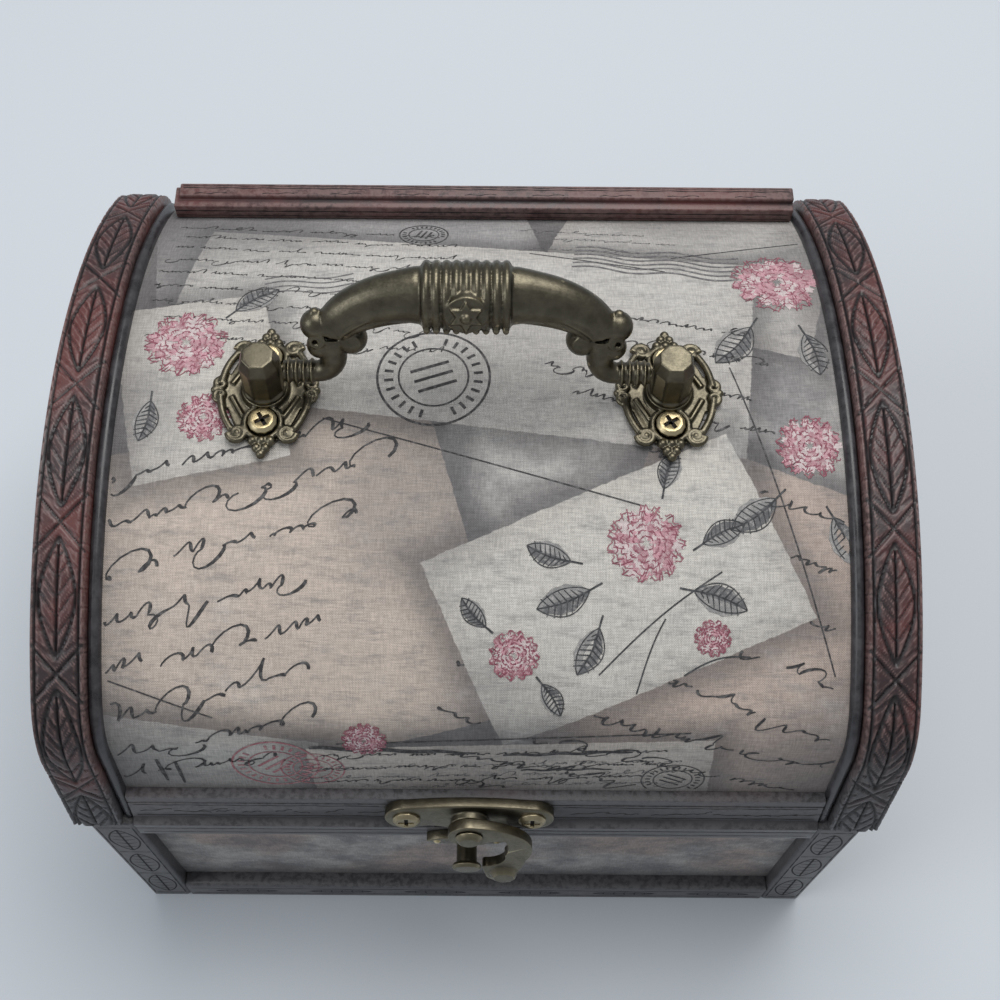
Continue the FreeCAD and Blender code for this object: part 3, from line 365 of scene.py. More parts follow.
def panelCloth():
    # the body's panels: the same linen, with soft blotches of the print
    material, tree, shader = newMaterial("panelLinen", linen["light"], 0.85)
    flat = unrolled(tree, 1, 2)
    patch = speckle(tree, flat, 0.03, 3, 0.5)
    colour = blendColour(tree, step(tree, patch, 0.42, 0.55), linen["pink"], linen["light"])
    grime = speckle(tree, flat, 0.08, 6, 0.7)
    colour = blendColour(tree, step(tree, grime, 0.35, 0.65, 0.40, 0.85), colour, linen["panelGrime"])
    upright = put(tree, "SeparateXYZ", Vector=flat).outputs[1]
    fromRails = sums(tree, "ABSOLUTE", sums(tree, "SUBTRACT", upright, linen["panelMiddle"]))
    # painted shade: the panel darkens towards the rails above and below it
    colour = stainAndPaintedLight(tree, colour, fromRails, 12.0, 28.0, 0.7, linen["panelRailShade"])
    finishLinen(tree, shader, colour, flat)
    return material


def plainCloth():
    material, tree, shader = newMaterial("liningCloth", linen["lining"], 0.9)
    flat = unrolled(tree, 2, 1)
    tone = blendColour(tree, speckle(tree, flat, 0.05), linen["liningDark"], linen["liningLight"])
    finishLinen(tree, shader, tone, flat, 0.2)
    return material


carvedLook = {
    "charcoal": (0.040, 0.036, 0.040), "red": (0.105, 0.030, 0.028), "soot": (0.030, 0.018, 0.020),
    "cut": (0.010, 0.008, 0.009), "worn": (0.20, 0.125, 0.115), "wornLow": (0.13, 0.125, 0.13),
}


def carvedTrim():
    # stained wood: red brown high on the lid, where light falls on its top, as painted light, going to
    # charcoal lower down as painted shade and reflection over a dark base; dark in its cuts
    material, tree, shader = newMaterial("carvedWood", carvedLook["red"], 0.4)
    place = inMillimetres(tree)
    height = put(tree, "SeparateXYZ", Vector=place).outputs[2]
    cloud = speckle(tree, place, 0.035, 5, 0.6)
    level = sums(tree, "ADD", height, sums(tree, "MULTIPLY", cloud, 30.0))
    darker = tuple(0.6 * c for c in carvedLook["charcoal"])
    low = blendColour(tree, step(tree, cloud, 0.35, 0.7), darker, carvedLook["charcoal"])
    high = blendColour(tree, step(tree, cloud, 0.40, 0.62), carvedLook["soot"], carvedLook["red"])
    # painted light and shade: red brown where the trim stands high on the lid, charcoal lower down
    litTop = step(tree, level, 98.0, 128.0)
    colour = blendColour(tree, litTop, low, high)
    grain = speckle(tree, place, 0.7, 5, 0.65)
    worn = put(tree, "NewGeometry").outputs["Pointiness"]
    rubbed = sums(tree, "MULTIPLY", step(tree, worn, 0.505, 0.55), step(tree, grain, 0.35, 0.6, 0.2, 0.75))
    edge = blendColour(tree, litTop, carvedLook["wornLow"], carvedLook["worn"])
    colour = blendColour(tree, rubbed, colour, edge)
    cuts = put(tree, "VertexColor", {"layer_name": "cuts"}).outputs[0]
    colour = stainAndPaintedLight(tree, colour, cuts, 0.15, 0.8, 0.9, carvedLook["cut"])
    finishSurface(tree, shader, colour, grain, 0.34, 0.56, 0.25)
    return material


darkBeadLook = {"paint": (0.035, 0.034, 0.038), "dark": (0.022, 0.021, 0.024), "worn": (0.060, 0.057, 0.063)}


def darkBead():
    material, tree, shader = newMaterial("darkBead", darkBeadLook["paint"], 0.3)
    place = inMillimetres(tree)
    tone = speckle(tree, place, 0.2, 6, 0.7)
    colour = blendColour(tree, step(tree, tone, 0.35, 0.7), darkBeadLook["dark"], darkBeadLook["worn"])
    finishSurface(tree, shader, colour, tone, 0.24, 0.46, 0.15)
    return material


# each metal: dark in its hollows, its own tone, and bright on its edges, partly rubbed wear and partly
# painted highlight
bronzeLook = {"dark": (0.050, 0.045, 0.034), "tone": (0.150, 0.134, 0.096), "bright": (0.42, 0.36, 0.235)}
screwLook = {"dark": (0.34, 0.27, 0.14), "tone": (0.62, 0.51, 0.30), "bright": (0.78, 0.68, 0.46)}
hingeLook = {"dark": (0.16, 0.13, 0.08), "tone": (0.32, 0.27, 0.17), "bright": (0.60, 0.51, 0.34)}


def antiqueBronze(name, dark, tone, bright):
    material, tree, shader = newMaterial(name, tone, 0.36, 1.0)
    place = inMillimetres(tree)
    cloud = speckle(tree, place, 0.25, 5, 0.6)
    colour = blendColour(tree, step(tree, cloud, 0.30, 0.70, 0.45, 1.0), dark, tone)
    worn = put(tree, "NewGeometry").outputs["Pointiness"]
    # painted highlight and wear: the convex edges are brightened
    colour = stainAndPaintedLight(tree, colour, worn, 0.515, 0.60, 0.85, bright)
    colour = stainAndPaintedLight(tree, colour, worn, 0.49, 0.42, 1.0, tuple(0.25 * c for c in dark))
    fine = speckle(tree, place, 1.6, 4, 0.7)
    finishSurface(tree, shader, colour, fine, 0.28, 0.46, 0.12, 0.0002)
    return material


# each ink where it is fresh and where it has faded
inkColours = {
    "darkInk": ((0.030, 0.028, 0.030), (0.12, 0.115, 0.115)),
    "greyInk": ((0.11, 0.105, 0.11), (0.26, 0.25, 0.24)),
    "pinkInk": ((0.30, 0.11, 0.13), (0.42, 0.28, 0.28)),
    "petalInk": ((0.22, 0.055, 0.085), (0.36, 0.17, 0.19)),
    "leafInk": ((0.030, 0.031, 0.034), (0.10, 0.10, 0.105)),
    "cutShade": (carvedLook["cut"], tuple(1.8 * c for c in carvedLook["cut"])),
}


def inkPaint(name, fresh, faded):
    material, tree, shader = newMaterial(name, fresh, 0.8)
    place = inMillimetres(tree)
    broken = step(tree, speckle(tree, place, 0.8, 4, 0.7), 0.42, 0.68)
    tree.links.new(blendColour(tree, broken, fresh, faded), shader.inputs["Base Color"])
    return material


def flowerPaint():
    material, tree, shader = newMaterial("flowerPrint", (0.5, 0.3, 0.3), 0.82)
    tint = put(tree, "VertexColor", {"layer_name": "tint"}).outputs[0]
    place = inMillimetres(tree)
    colour = stainAndPaintedLight(tree, tint, speckle(tree, place, 0.7, 5, 0.7), 0.45, 0.75, 0.55, (0.62, 0.59, 0.56))
    finishLinen(tree, shader, colour, place, 0.25)
    return material


lidLinen = printedCloth()
panelLinen = panelCloth()
liningCloth = plainCloth()
carvedWood = carvedTrim()
beadLook = darkBead()
bronze = antiqueBronze("antiqueBronze", **bronzeLook)
screwBrass = antiqueBronze("screwBrass", **screwLook)
hingeBrass = antiqueBronze("hingeBrass", **hingeLook)
inks = {name: inkPaint(name, fresh, faded) for name, (fresh, faded) in inkColours.items()}
petalPrint = flowerPaint()
print("materials made")


def makeLidCloth():
    clearChoice()
    bpy.ops.mesh.primitive_grid_add(x_subdivisions=clothGrid["across"],
                                    y_subdivisions=clothGrid["along"], size=2)
    cloth = bpy.context.object
    for vertex in cloth.data.vertices:
        across, along = vertex.co.x * clothGrid["half"], overLid((vertex.co.y + 1) / 2)
        vertex.co = onLid(across, along, -clothGrid["sunk"])
    wall = cloth.modifiers.new("thickness", "SOLIDIFY")
    wall.thickness = clothGrid["thick"] * mm
    wall.offset = -1
    applyAll(cloth)
    settle(cloth, "lidLinenCover")
    smoothByAngle(cloth, 40)
    return finishPiece(cloth, "lid", lidLinen, ["dome_cloth"])


makeLidCloth()
print("lid cloth laid")


# the print is made of flat strokes: scribbles, ring stamps, flowers and leaves
def ribbonMesh(name, strokes, spot):
    # strokes are lists of (across, along, half width); spot puts a flat place on the cloth
    verts, faces = [], []
    for stroke in strokes:
        first = len(verts)
        for i, (u, v, half) in enumerate(stroke):
            before = stroke[max(i - 1, 0)]
            after = stroke[min(i + 1, len(stroke) - 1)]
            du, dv = after[0] - before[0], after[1] - before[1]
            size = math.hypot(du, dv) or 1.0
            nu, nv = -dv / size * half, du / size * half
            verts += [spot(u + nu, v + nv), spot(u - nu, v - nv)]
            if i:
                a = first + 2 * i
                faces.append((a - 2, a - 1, a + 1, a))
    return meshObject(name, verts, faces)


def drawnLine(start, end, count, pen, wave=(0.0, 0.0), press=(1.0, 0.0, 0.0, 0.0)):
    # wave: height and turn per point; press: middle, swing, first turn and turn per point
    points = []
    for i in range(count + 1):
        u = start[0] + (end[0] - start[0]) * i / count
        v = start[1] + (end[1] - start[1]) * i / count + wave[0] * math.sin(i * wave[1])
        points.append((u, v, pen * (press[0] + press[1] * math.sin(press[2] + i * press[3]))))
    return points


def turnedTo(points, at, turn):
    c, s = math.cos(math.radians(turn)), math.sin(math.radians(turn))
    return [(at[0] + u * c - v * s, at[1] + u * s + v * c, w) for u, v, w in points]


def scrawlWord(rng, length, height, pen):
    # joined humps and loops of a pen, with no letters in them
    points = []
    u = 0.0
    while u < length:
        kind = rng.random()
        wide = height * rng.uniform(0.18, 0.95)
        rise = height * rng.uniform(0.05, 0.42)
        loop = rng.uniform(-0.25, 0.2)
        if kind < 0.08:
            wide = height * 1.1
            rise, loop = height * rng.uniform(0.6, 1.0), rng.uniform(-0.6, 0.5)
        elif kind < 0.18:
            wide = height * 0.9
            rise, loop = -height * rng.uniform(0.4, 0.9), rng.uniform(-0.6, 0.5)
        sag = height * rng.uniform(-0.06, 0.06)
        for k in range(11):
            t = k / 11
            v = rise * 0.5 * (1 - math.cos(2 * math.pi * t)) + sag
            x = u + wide * t + loop * wide * math.sin(2 * math.pi * t)
            press = pen * (0.5 + 0.6 * max(0.0, -math.sin(2 * math.pi * t)))
            points.append((x + 0.8 * v, v, press))
        u += wide
    return points


def scrawlLine(rng, at, length, height, turn, pen):
    strokes = []
    u = 0.0
    while u < length:
        word = min(height * rng.uniform(1.4, 5.0), length - u)
        if word > height:
            lift = height * rng.uniform(-0.15, 0.15)
            marks = [(p[0] + u, p[1] + lift, p[2]) for p in scrawlWord(rng, word, height, pen)]
            strokes.append(turnedTo(marks, at, turn))
        u += word + height * rng.uniform(0.6, 1.3)
    return strokes


def ringOf(at, radius, pen):
    count = max(12, int(radius * 2 * math.pi / 0.8))
    turns = [2 * math.pi * i / count for i in range(count + 1)]
    return [(at[0] + radius * math.cos(a), at[1] + radius * math.sin(a), pen) for a in turns]


ringShape = {"inner": 0.62, "ticks": 26, "tick": (0.72, 0.80, 0.88), "bars": (-0.22, 0.0, 0.22)}


def ringStamp(at, radius, pen, turn):
    # two rings with ticks between them, and three bars in the middle
    strokes = [ringOf(at, radius, pen), ringOf(at, radius * ringShape["inner"], pen * 0.8)]
    for i in range(ringShape["ticks"]):
        if i % 13 in (5, 6):
            continue
        a = math.radians(turn + i * 360 / ringShape["ticks"])
        strokes.append([(at[0] + radius * r * math.cos(a), at[1] + radius * r * math.sin(a), pen * 1.3)
                        for r in ringShape["tick"]])
    for row in ringShape["bars"]:
        bar = [(x * radius, row * radius, pen * 1.4) for x in (-0.36, -0.12, 0.12, 0.36)]
        strokes.append(turnedTo(bar, at, turn))
    return strokes


def waveBars(at, length, turn, rows, pen):
    strokes = []
    for row in range(rows):
        wave = [(0.8 * i, row * 1.9 + 0.8 * math.sin(0.8 * i * 0.33), pen) for i in range(int(length / 0.8))]
        strokes.append(turnedTo(wave, at, turn))
    return strokes


# where the print may lie on the cloth, how far off it, its seed, and which sheet lies over the writing
lidPrint = {"lift": 0.03, "seed": 11, "half": 78.6, "front": 13.0 - frontReach, "back": 66.0, "card": 6}


def inLidCloth(strokes):
    kept = []
    for stroke in strokes:
        run = []
        for point in stroke:
            if abs(point[0]) < lidPrint["half"] and lidPrint["front"] < point[1] < lidPrint["back"]:
                run.append(point)
            else:
                kept.append(run)
                run = []
        kept.append(run)
    return [run for run in kept if len(run) > 2]


def offSheet(strokes, sheet):
    # the parts of the strokes that aren't under a sheet of paper
    c, s = math.cos(math.radians(sheet["turn"])), math.sin(math.radians(sheet["turn"]))
    kept = []
    for stroke in strokes:
        run = []
        for point in stroke:
            u, v = point[0] - sheet["at"][0], point[1] - sheet["at"][1]
            if abs(u * c + v * s) > sheet["size"][0] / 2 or abs(v * c - u * s) > sheet["size"][1] / 2:
                run.append(point)
            else:
                kept.append(run)
                run = []
        kept.append(run)
    return [run for run in kept if len(run) > 2]


def onCloth(u, v):
    return onLid(u, v, lidPrint["lift"])


# rows, and what each row holds: ink, first start, way to the next row, stray, length and its change,
# height of the scribble, turn and pen
lidScript = [
    (9, [("dark", (-77, 61), (0, -5.6), 5, 66, 0, 2.2, -4, 0.17)]),
    (3, [("grey", (10, 61), (0, -5.0), 8, 30, 0, 1.6, -6, 0.14)]),
    (4, [("dark", (14, 26), (0, -8.5), 10, 46, 0, 3.0, -12, 0.24)]),
    (8, [("dark", (-82, -22), (0, -10.5), 0, 62, -3, 5.4, 15, 0.36)]),
    (7, [("dark", (34, -108), (2, 11), 0, 46, 0, 5.0, 160, 0.34),
         ("dark", (76, -28), (0, -12), 0, 40, 0, 4.6, 158, 0.30)]),
    (3, [("dark", (-34, -84), (0, -6), 0, 74, 0, 2.7, 2.5, 0.24),
         ("grey", (-40, -90), (0, -5), 0, 86, 0, 2.0, 3, 0.16)]),
]
# ink, middle, radius, pen, turn
lidStamps = [
    ("dark", (-10, 5), 12.5, 0.26, 20), ("dark", (-14, 58), 6.0, 0.18, 70),
    ("dark", (44, -94), 7.0, 0.16, -30),
    ("pink", (-44, -88), 9.5, 0.24, 45), ("pink", (-36, -90), 7.0, 0.18, 20),
]
# broad strokes of the pen with their width, then the thin ruled lines
broadStrokes = [
    ((-36, -80.5), (0, -82), 0.75), ((6, -83), (34, -81), 0.6), ((10, -90), (30, -89), 0.45),
    ((-70, -86), (-69, -96), 0.5), ((-66, -87), (-65.4, -97), 0.45),
]
ruledLines = [
    ((56, 8), (76, -62)), ((12, 48), (44, 40)), ((46, 46), (78, 54)), ((-78, -64), (-56, -72)),
    ((-34, -6), (36, -26)), ((-30, -79), (46, -75)),
]


def makeLidPrint():
    rng = random.Random(lidPrint["seed"])
    drawn = {"dark": [], "grey": [], "pink": []}
    for rows, lines in lidScript:
        for row in range(rows):
            for ink, start, pitch, stray, length, grows, height, turn, pen in lines:
                aside = rng.uniform(0, stray) if stray else 0.0
                at = (start[0] + row * pitch[0] + aside, start[1] + row * pitch[1])
                drawn[ink] += scrawlLine(rng, at, length + row * grows, height, turn, pen)
    for ink in ("dark", "grey"):
        drawn[ink] = offSheet(drawn[ink], paperSheets[lidPrint["card"]])
    for ink, at, radius, pen, turn in lidStamps:
        drawn[ink] += ringStamp(at, radius, pen, turn)
    drawn["grey"] += waveBars((22, 42), 40, -8, 6, 0.30) + waveBars((-50, 30), 22, 6, 4, 0.20)
    for start, end, pen in broadStrokes:
        drawn["dark"].append(drawnLine(start, end, 14, pen, (0.3, 1.3), (0.5, 0.5, 0.3, 0.2)))
    for start, end in ruledLines:
        drawn["dark"].append(drawnLine(start, end, 20, 0.16))
    for ink, name in (("dark", "lidDarkScript"), ("grey", "lidGreyScript"), ("pink", "lidPinkStamp")):
        obj = ribbonMesh(name, inLidCloth(drawn[ink]), onCloth)
        finishPiece(obj, "lid", inks[ink + "Ink"])


flowers = [
    {"at": (36, -34), "radius": 8.5, "seed": 1}, {"at": (8, -58), "radius": 5.5, "seed": 2},
    {"at": (-66, 14), "radius": 9.5, "seed": 3}, {"at": (-60, -6), "radius": 6.0, "seed": 4},
    {"at": (70, 36), "radius": 11.0, "seed": 5}, {"at": (72, -12), "radius": 7.5, "seed": 6},
    {"at": (50, -54), "radius": 4.0, "seed": 7}, {"at": (-24, -78), "radius": 5.0, "seed": 8},
]
leaves = [
    {"at": (24, -44), "long": 12, "turn": 200}, {"at": (20, -38), "long": 10, "turn": 160},
    {"at": (26, -52), "long": 11, "turn": 245}, {"at": (46, -44), "long": 12, "turn": -20},
    {"at": (48, -34), "long": 10, "turn": 25}, {"at": (40, -22), "long": 9, "turn": 70},
    {"at": (-56, 24), "long": 12, "turn": 40}, {"at": (-72, -2), "long": 10, "turn": 260},
    {"at": (62, 20), "long": 14, "turn": 230}, {"at": (74, 18), "long": 12, "turn": 280},
    {"at": (64, -24), "long": 12, "turn": 215}, {"at": (76, -28), "long": 11, "turn": 290},
    {"at": (14, -64), "long": 8, "turn": 300}, {"at": (2, -52), "long": 8, "turn": 130},
]


flowerShape = {
    "rings": 6, "petals": 15, "deep": (0.50, 0.24, 0.28), "pale": (0.58, 0.48, 0.48), "paleShare": 0.42,
    "leafHalf": 0.24, "leafDark": (0.13, 0.13, 0.135), "leafLight": (0.27, 0.265, 0.26), "linesLift": 0.045,
}
stems = [((26, -62), (52, -40)), ((34, -66), (40, -50)), ((44, -62), (58, -58))]


def leafSide(long, t):
    # half the width of a leaf, from its stalk at 0 to its tip at 1
    return long * flowerShape["leafHalf"] * math.sin(math.pi * t) ** 0.8


def makeFlowers():
    verts, faces, tints = [], [], []

    def patch(outline, tint, lift):
        first = len(verts)
        for u, v in outline:
            verts.append(onLid(u, v, lidPrint["lift"] + lift))
        faces.append(tuple(range(first, first + len(outline))))
        tints.append(tint)

    for flower in flowers:
        rng = random.Random(flower["seed"])
        cu, cv = flower["at"]
        for ring in range(flowerShape["rings"]):
            reach = flower["radius"] * (1 - ring * 0.15)
            count = flowerShape["petals"] - ring
            for i in range(count):
                a = 2 * math.pi * (i + 0.5 * ring + rng.uniform(-0.2, 0.2)) / count
                wide = 1.05 * math.pi / count
                tip = reach * rng.uniform(0.85, 1.05)
                outline = [(cu + reach * 0.25 * math.cos(a), cv + reach * 0.25 * math.sin(a))]
                for k in range(7):
                    b = a + wide * (k - 3) / 3
                    r = tip * (1.0 - 0.10 * (k % 2) - 0.05 * abs(k - 3))
                    outline.append((cu + r * math.cos(b), cv + r * math.sin(b)))
                shade = rng.uniform(0.65, 1.0)
                tint = tuple(c * shade + 0.06 for c in flowerShape["deep"])
                if rng.random() < flowerShape["paleShare"]:
                    tint = flowerShape["pale"]
                patch(outline, tint, 0.004 * (ring + 1) + 0.0004 * i)
    for index, leaf in enumerate(leaves):
        a = math.radians(leaf["turn"])
        cu, cv = leaf["at"]
        for half, tint in ((1, flowerShape["leafDark"]), (-1, flowerShape["leafLight"])):
            outline = []
            for k in range(9):
                t = k / 8
                side = half * leafSide(leaf["long"], t) * (1 + 0.12 * (k % 2))
                outline.append((cu + leaf["long"] * t * math.cos(a) - side * math.sin(a),
                                cv + leaf["long"] * t * math.sin(a) + side * math.cos(a)))
            patch(outline if half > 0 else outline[::-1], tint, 0.002 + 0.0005 * (index % 5))
    obj = meshObject("lidFlowers", verts, faces)
    mesh = obj.data
    layer = mesh.color_attributes.new("tint", "FLOAT_COLOR", "CORNER")
    for polygon, tint in zip(mesh.polygons, tints):
        for corner in polygon.loop_indices:
            layer.data[corner].color = (*tint, 1)
    editAll(obj)
    bpy.ops.mesh.quads_convert_to_tris(quad_method="BEAUTY", ngon_method="BEAUTY")
    bpy.ops.object.mode_set(mode="OBJECT")
    for polygon in mesh.polygons:
        # on the crown, faces that look down are turned over
        if polygon.normal.z < 0 and polygon.center.z > 0.11:
            polygon.flip()
    return finishPiece(obj, "lid", petalPrint)


def makeFlowerLines():
    # the engraver's lines over the petals and the leaves
    petalLines, leafLines = [], []
    for flower in flowers:
        rng = random.Random(flower["seed"] + 100)
        cu, cv = flower["at"]
        for ring in range(flowerShape["rings"]):
            reach = flower["radius"] * (1.0 - ring * 0.16)
            count = flowerShape["petals"] - 2 * ring
            for i in range(count):
                a = 2 * math.pi * (i + 0.5 * ring + rng.uniform(-0.25, 0.25)) / count
                wide = math.pi / count * rng.uniform(0.7, 1.0)
                edge = []
                for k in range(7):
                    b = a + wide * (k - 3) / 3
                    r = reach * (1.0 - 0.12 * abs(k - 3) / 3 - 0.05 * (k % 2)) * rng.uniform(0.97, 1.03)
                    edge.append((cu + r * math.cos(b), cv + r * math.sin(b), 0.09 + 0.05 * (k % 2)))
                petalLines.append(edge)
                for line in range(2):
                    b = a + wide * rng.uniform(-0.7, 0.7)
                    vein = enumerate((reach, reach * 0.9, reach * 0.8))
                    petalLines.append([(cu + r * math.cos(b + 0.04 * k), cv + r * math.sin(b + 0.04 * k),
                                        0.13 - 0.03 * k) for k, r in vein])
    for leaf in leaves:
        a = math.radians(leaf["turn"])
        cu, cv = leaf["at"]
        long = leaf["long"]

        def onLeaf(t, side, pen):
            bow = 0.06 * long * math.sin(math.pi * t)
            return (cu + long * t * math.cos(a) - (side + bow) * math.sin(a),
                    cv + long * t * math.sin(a) + (side + bow) * math.cos(a), pen)

        leafLines.append([onLeaf(k / 9 * 1.25 - 0.25, 0.0, 0.22 - 0.012 * k) for k in range(10)])
        for side in (-1, 1):
            for k in range(1, 8):
                t = k / 9
                reach = side * leafSide(long, t)
                leafLines.append([onLeaf(t + 0.10 * j / 3, reach * j / 3, 0.15 - 0.02 * j) for j in range(4)])
            leafLines.append([onLeaf(k / 12, side * leafSide(long, k / 12), 0.12) for k in range(13)])
    for start, end in stems:
        leafLines.append(drawnLine(start, end, 12, 0.16, (1.6, 0.26)))

    def above(u, v):
        return onLid(u, v, lidPrint["lift"] + flowerShape["linesLift"])

    for name, strokes in (("petal", petalLines), ("leaf", leafLines)):
        obj = ribbonMesh(name + "Lines", inLidCloth(strokes), above)
        finishPiece(obj, "lid", inks[name + "Ink"])


makeLidPrint()
makeFlowers()
makeFlowerLines()
print("print laid on the lid")


bandShape = {"inner": 82.0, "outer": 93.5, "proud": 4.0, "deep": -8.0, "round": 1.2, "ledge": 4.0,
             "cut": 0.7, "sideCut": 0.5}
# the carving of the bands: length of a motif, size of its leaf, widths of the grooves, pitch of the fine ones
carvedLeaf = {"motif": 31.0, "half": 3.9, "long": 12.5, "outline": 0.42, "rib": 0.34, "veins": 4.0,
              "chevron": 0.4, "sprigs": 3.1, "rimIn": 1.1, "rim": 0.35}
beadShape = {"inner": 79.2, "outer": 82.0, "height": 1.8, "foot": -0.4}


def groove(distance, width):
    return math.exp(-(distance / width) ** 2)


def carving(across, along):
    # how deep the carving is, 0 on the raised parts and 1 in the grooves
    half = (bandShape["outer"] - bandShape["inner"]) / 2
    q = abs(across - (bandShape["inner"] + bandShape["outer"]) / 2)
    motif, long = carvedLeaf["motif"], carvedLeaf["long"]
    p = (along % motif) - motif / 2
    leafHalf = carvedLeaf["half"] * max(0.0, 1 - (abs(p) / long) ** 1.7)
    depth = groove(q - leafHalf, carvedLeaf["outline"]) if abs(p) < long + 0.1 else 0.0
    if q < leafHalf:
        vein = max(0.0, math.cos(2 * math.pi * (p - 1.5 * q) / carvedLeaf["veins"])) ** 8
        depth = max(depth, groove(q, carvedLeaf["rib"]), 0.8 * vein)
    else:
        chevron = abs(abs(p) - motif / 2 + 1.1 * q)
        sprig = max(0.0, math.cos(2 * math.pi * (abs(p) + 0.8 * q) / carvedLeaf["sprigs"])) ** 10
        depth = max(depth, groove(chevron, carvedLeaf["chevron"]), 0.6 * sprig)
    return min(1.0, max(depth, groove(q - half + carvedLeaf["rimIn"], carvedLeaf["rim"])))


def sweptOnLid(name, side, outline, sections, cutAt=None):
    # a section of (across, lift) carried over the lid from front to back, on its right or left side
    clearChoice()
    bpy.ops.mesh.primitive_grid_add(x_subdivisions=len(outline), y_subdivisions=sections, size=2)
    swept = bpy.context.object
    columnOf = {x: i for i, x in enumerate(sorted({round(v.co.x, 5) for v in swept.data.vertices}))}
    spare = len(columnOf) - len(outline)
    layer = swept.data.color_attributes.new("cuts", "FLOAT_COLOR", "POINT")
    for vertex in swept.data.vertices:
        along = overLid((vertex.co.y + 1) / 2)
        across, lift = outline[max(columnOf[round(vertex.co.x, 5)] - spare, 0)]
        depth = cutAt(across, along, lift) if cutAt else 0.0
        if lift > 0 and cutAt and across < bandShape["outer"]:
            place = onLid(across, along, lift - bandShape["cut"] * depth)
        else:
            place = onLid(across - bandShape["sideCut"] * depth, along, lift)
        place.z = max(place.z, lidShape["seam"] * mm)
        vertex.co = Vector((side * place.x, place.y, place.z))
        layer.data[vertex.index].color = (depth, depth, depth, 1)
    editAll(swept)
    bpy.ops.mesh.remove_doubles(threshold=0.00001)
    if side < 0:
        bpy.ops.mesh.flip_normals()
    bpy.ops.object.mode_set(mode="OBJECT")
    settle(swept, name)
    smoothByAngle(swept, 60)
    return swept


def bandCuts(across, along, lift):
    inner, outer, proud = bandShape["inner"], bandShape["outer"], bandShape["proud"]
    if lift > proud - 0.35:
        return carving(across, along)
    if across == outer and lift < proud - bandShape["round"] - 0.5:
        return 0.9 * carving(inner + 1.4 + (proud - lift) * 0.85, along + carvedLeaf["motif"] / 2)
    return 0.0


def makeBand(side, name, node):
    top = 30
    inner, outer = bandShape["inner"], bandShape["outer"]
    proud, deep, rounding = bandShape["proud"], bandShape["deep"], bandShape["round"]
    outline = [(inner, -0.6), (inner, proud - rounding)]
    for k in range(top + 1):
        across = inner + (outer - inner) * k / top
        edge = min(across - inner, outer - across)
        drop = rounding * (1 - math.sqrt(max(0.0, 1 - (1 - min(edge / rounding, 1)) ** 2)))
        outline.append((across, proud - drop))
    for k in range(1, 19):
        outline.append((outer, proud - rounding + (deep - proud + rounding) * k / 18))
    for k in range(1, 4):
        outline.append((outer - bandShape["ledge"] * k / 3, deep))
    band = sweptOnLid(name, side, outline, int(lidReach / 0.42), bandCuts)
    return finishPiece(band, "lid", carvedWood, [node])


def makeBead(side, name, node):
    inner, outer = beadShape["inner"], beadShape["outer"]
    outline = [(inner, beadShape["foot"])]
    for k in range(11):
        turn = math.pi * k / 10
        across = (inner + outer) / 2 - (outer - inner) / 2 * math.cos(turn)
        outline.append((across, beadShape["height"] * math.sin(turn)))
    bead = sweptOnLid(name, side, outline, 180)
    return finishPiece(bead, "lid", beadLook, [node])


for side, hand in ((1, "right"), (-1, "left")):
    makeBand(side, hand + "CarvedBand", hand + "_end_frame")
for side, hand in ((1, "right"), (-1, "left")):
    makeBead(side, hand + "RoundBead", hand + "_bead")
print("bands and beads swept")


def softened(node, name, width, body, slotName, material, segments):
    # a copy of the CAD node with its sharp edges rounded
    source = bpy.data.objects[node]
    copy = source.copy()
    copy.data = source.data.copy()
    copy.parent = None
    bpy.context.scene.collection.objects.link(copy)
    copy.hide_render = False
    editAll(copy)
    bpy.ops.mesh.remove_doubles(threshold=0.000002)
    bpy.ops.mesh.dissolve_limited(angle_limit=math.radians(1.5))
    bpy.ops.object.mode_set(mode="OBJECT")
    edge = copy.modifiers.new("softEdge", "BEVEL")
    edge.width = width * mm
    edge.segments = segments
    edge.limit_method = "ANGLE"
    edge.angle_limit = math.radians(38)
    edge.use_clamp_overlap = True
    applyAll(copy)
    settle(copy, name)
    smoothByAngle(copy, 45)
    return finishPiece(copy, body, material, [node])


boardLook = {"tone": (0.36, 0.25, 0.16), "dark": (0.26, 0.17, 0.10), "light": (0.44, 0.32, 0.21)}


def plainBoard():
    material, tree, shader = newMaterial("plainBoard", boardLook["tone"], 0.7)
    grain = speckle(tree, inMillimetres(tree), 0.12, 6, 0.6, (0.1, 1.5, 1.5))
    colour = blendColour(tree, grain, boardLook["dark"], boardLook["light"])
    tree.links.new(colour, shader.inputs["Base Color"])
    return material


nodeLooks = {
    "board": plainBoard(), "printed_cloth": panelLinen, "lining": liningCloth, "carved_trim": carvedWood,
    "dark_bead": beadLook, "bronze": bronze, "brass": hingeBrass,
}


def dressNodes():
    for part in frame["record"]["subparts"]:
        material = nodeLooks[part["material_slot"]]
        if part["node"] in ("handle_screws", "latch_screws", "catch_pins"):
            material = screwBrass
        mesh = bpy.data.objects[part["node"]].data
        mesh.materials.clear()
        mesh.materials.append(material)


def camelName(node):
    first, *rest = node.split("_")
    return first + "".join(word.title() for word in rest)


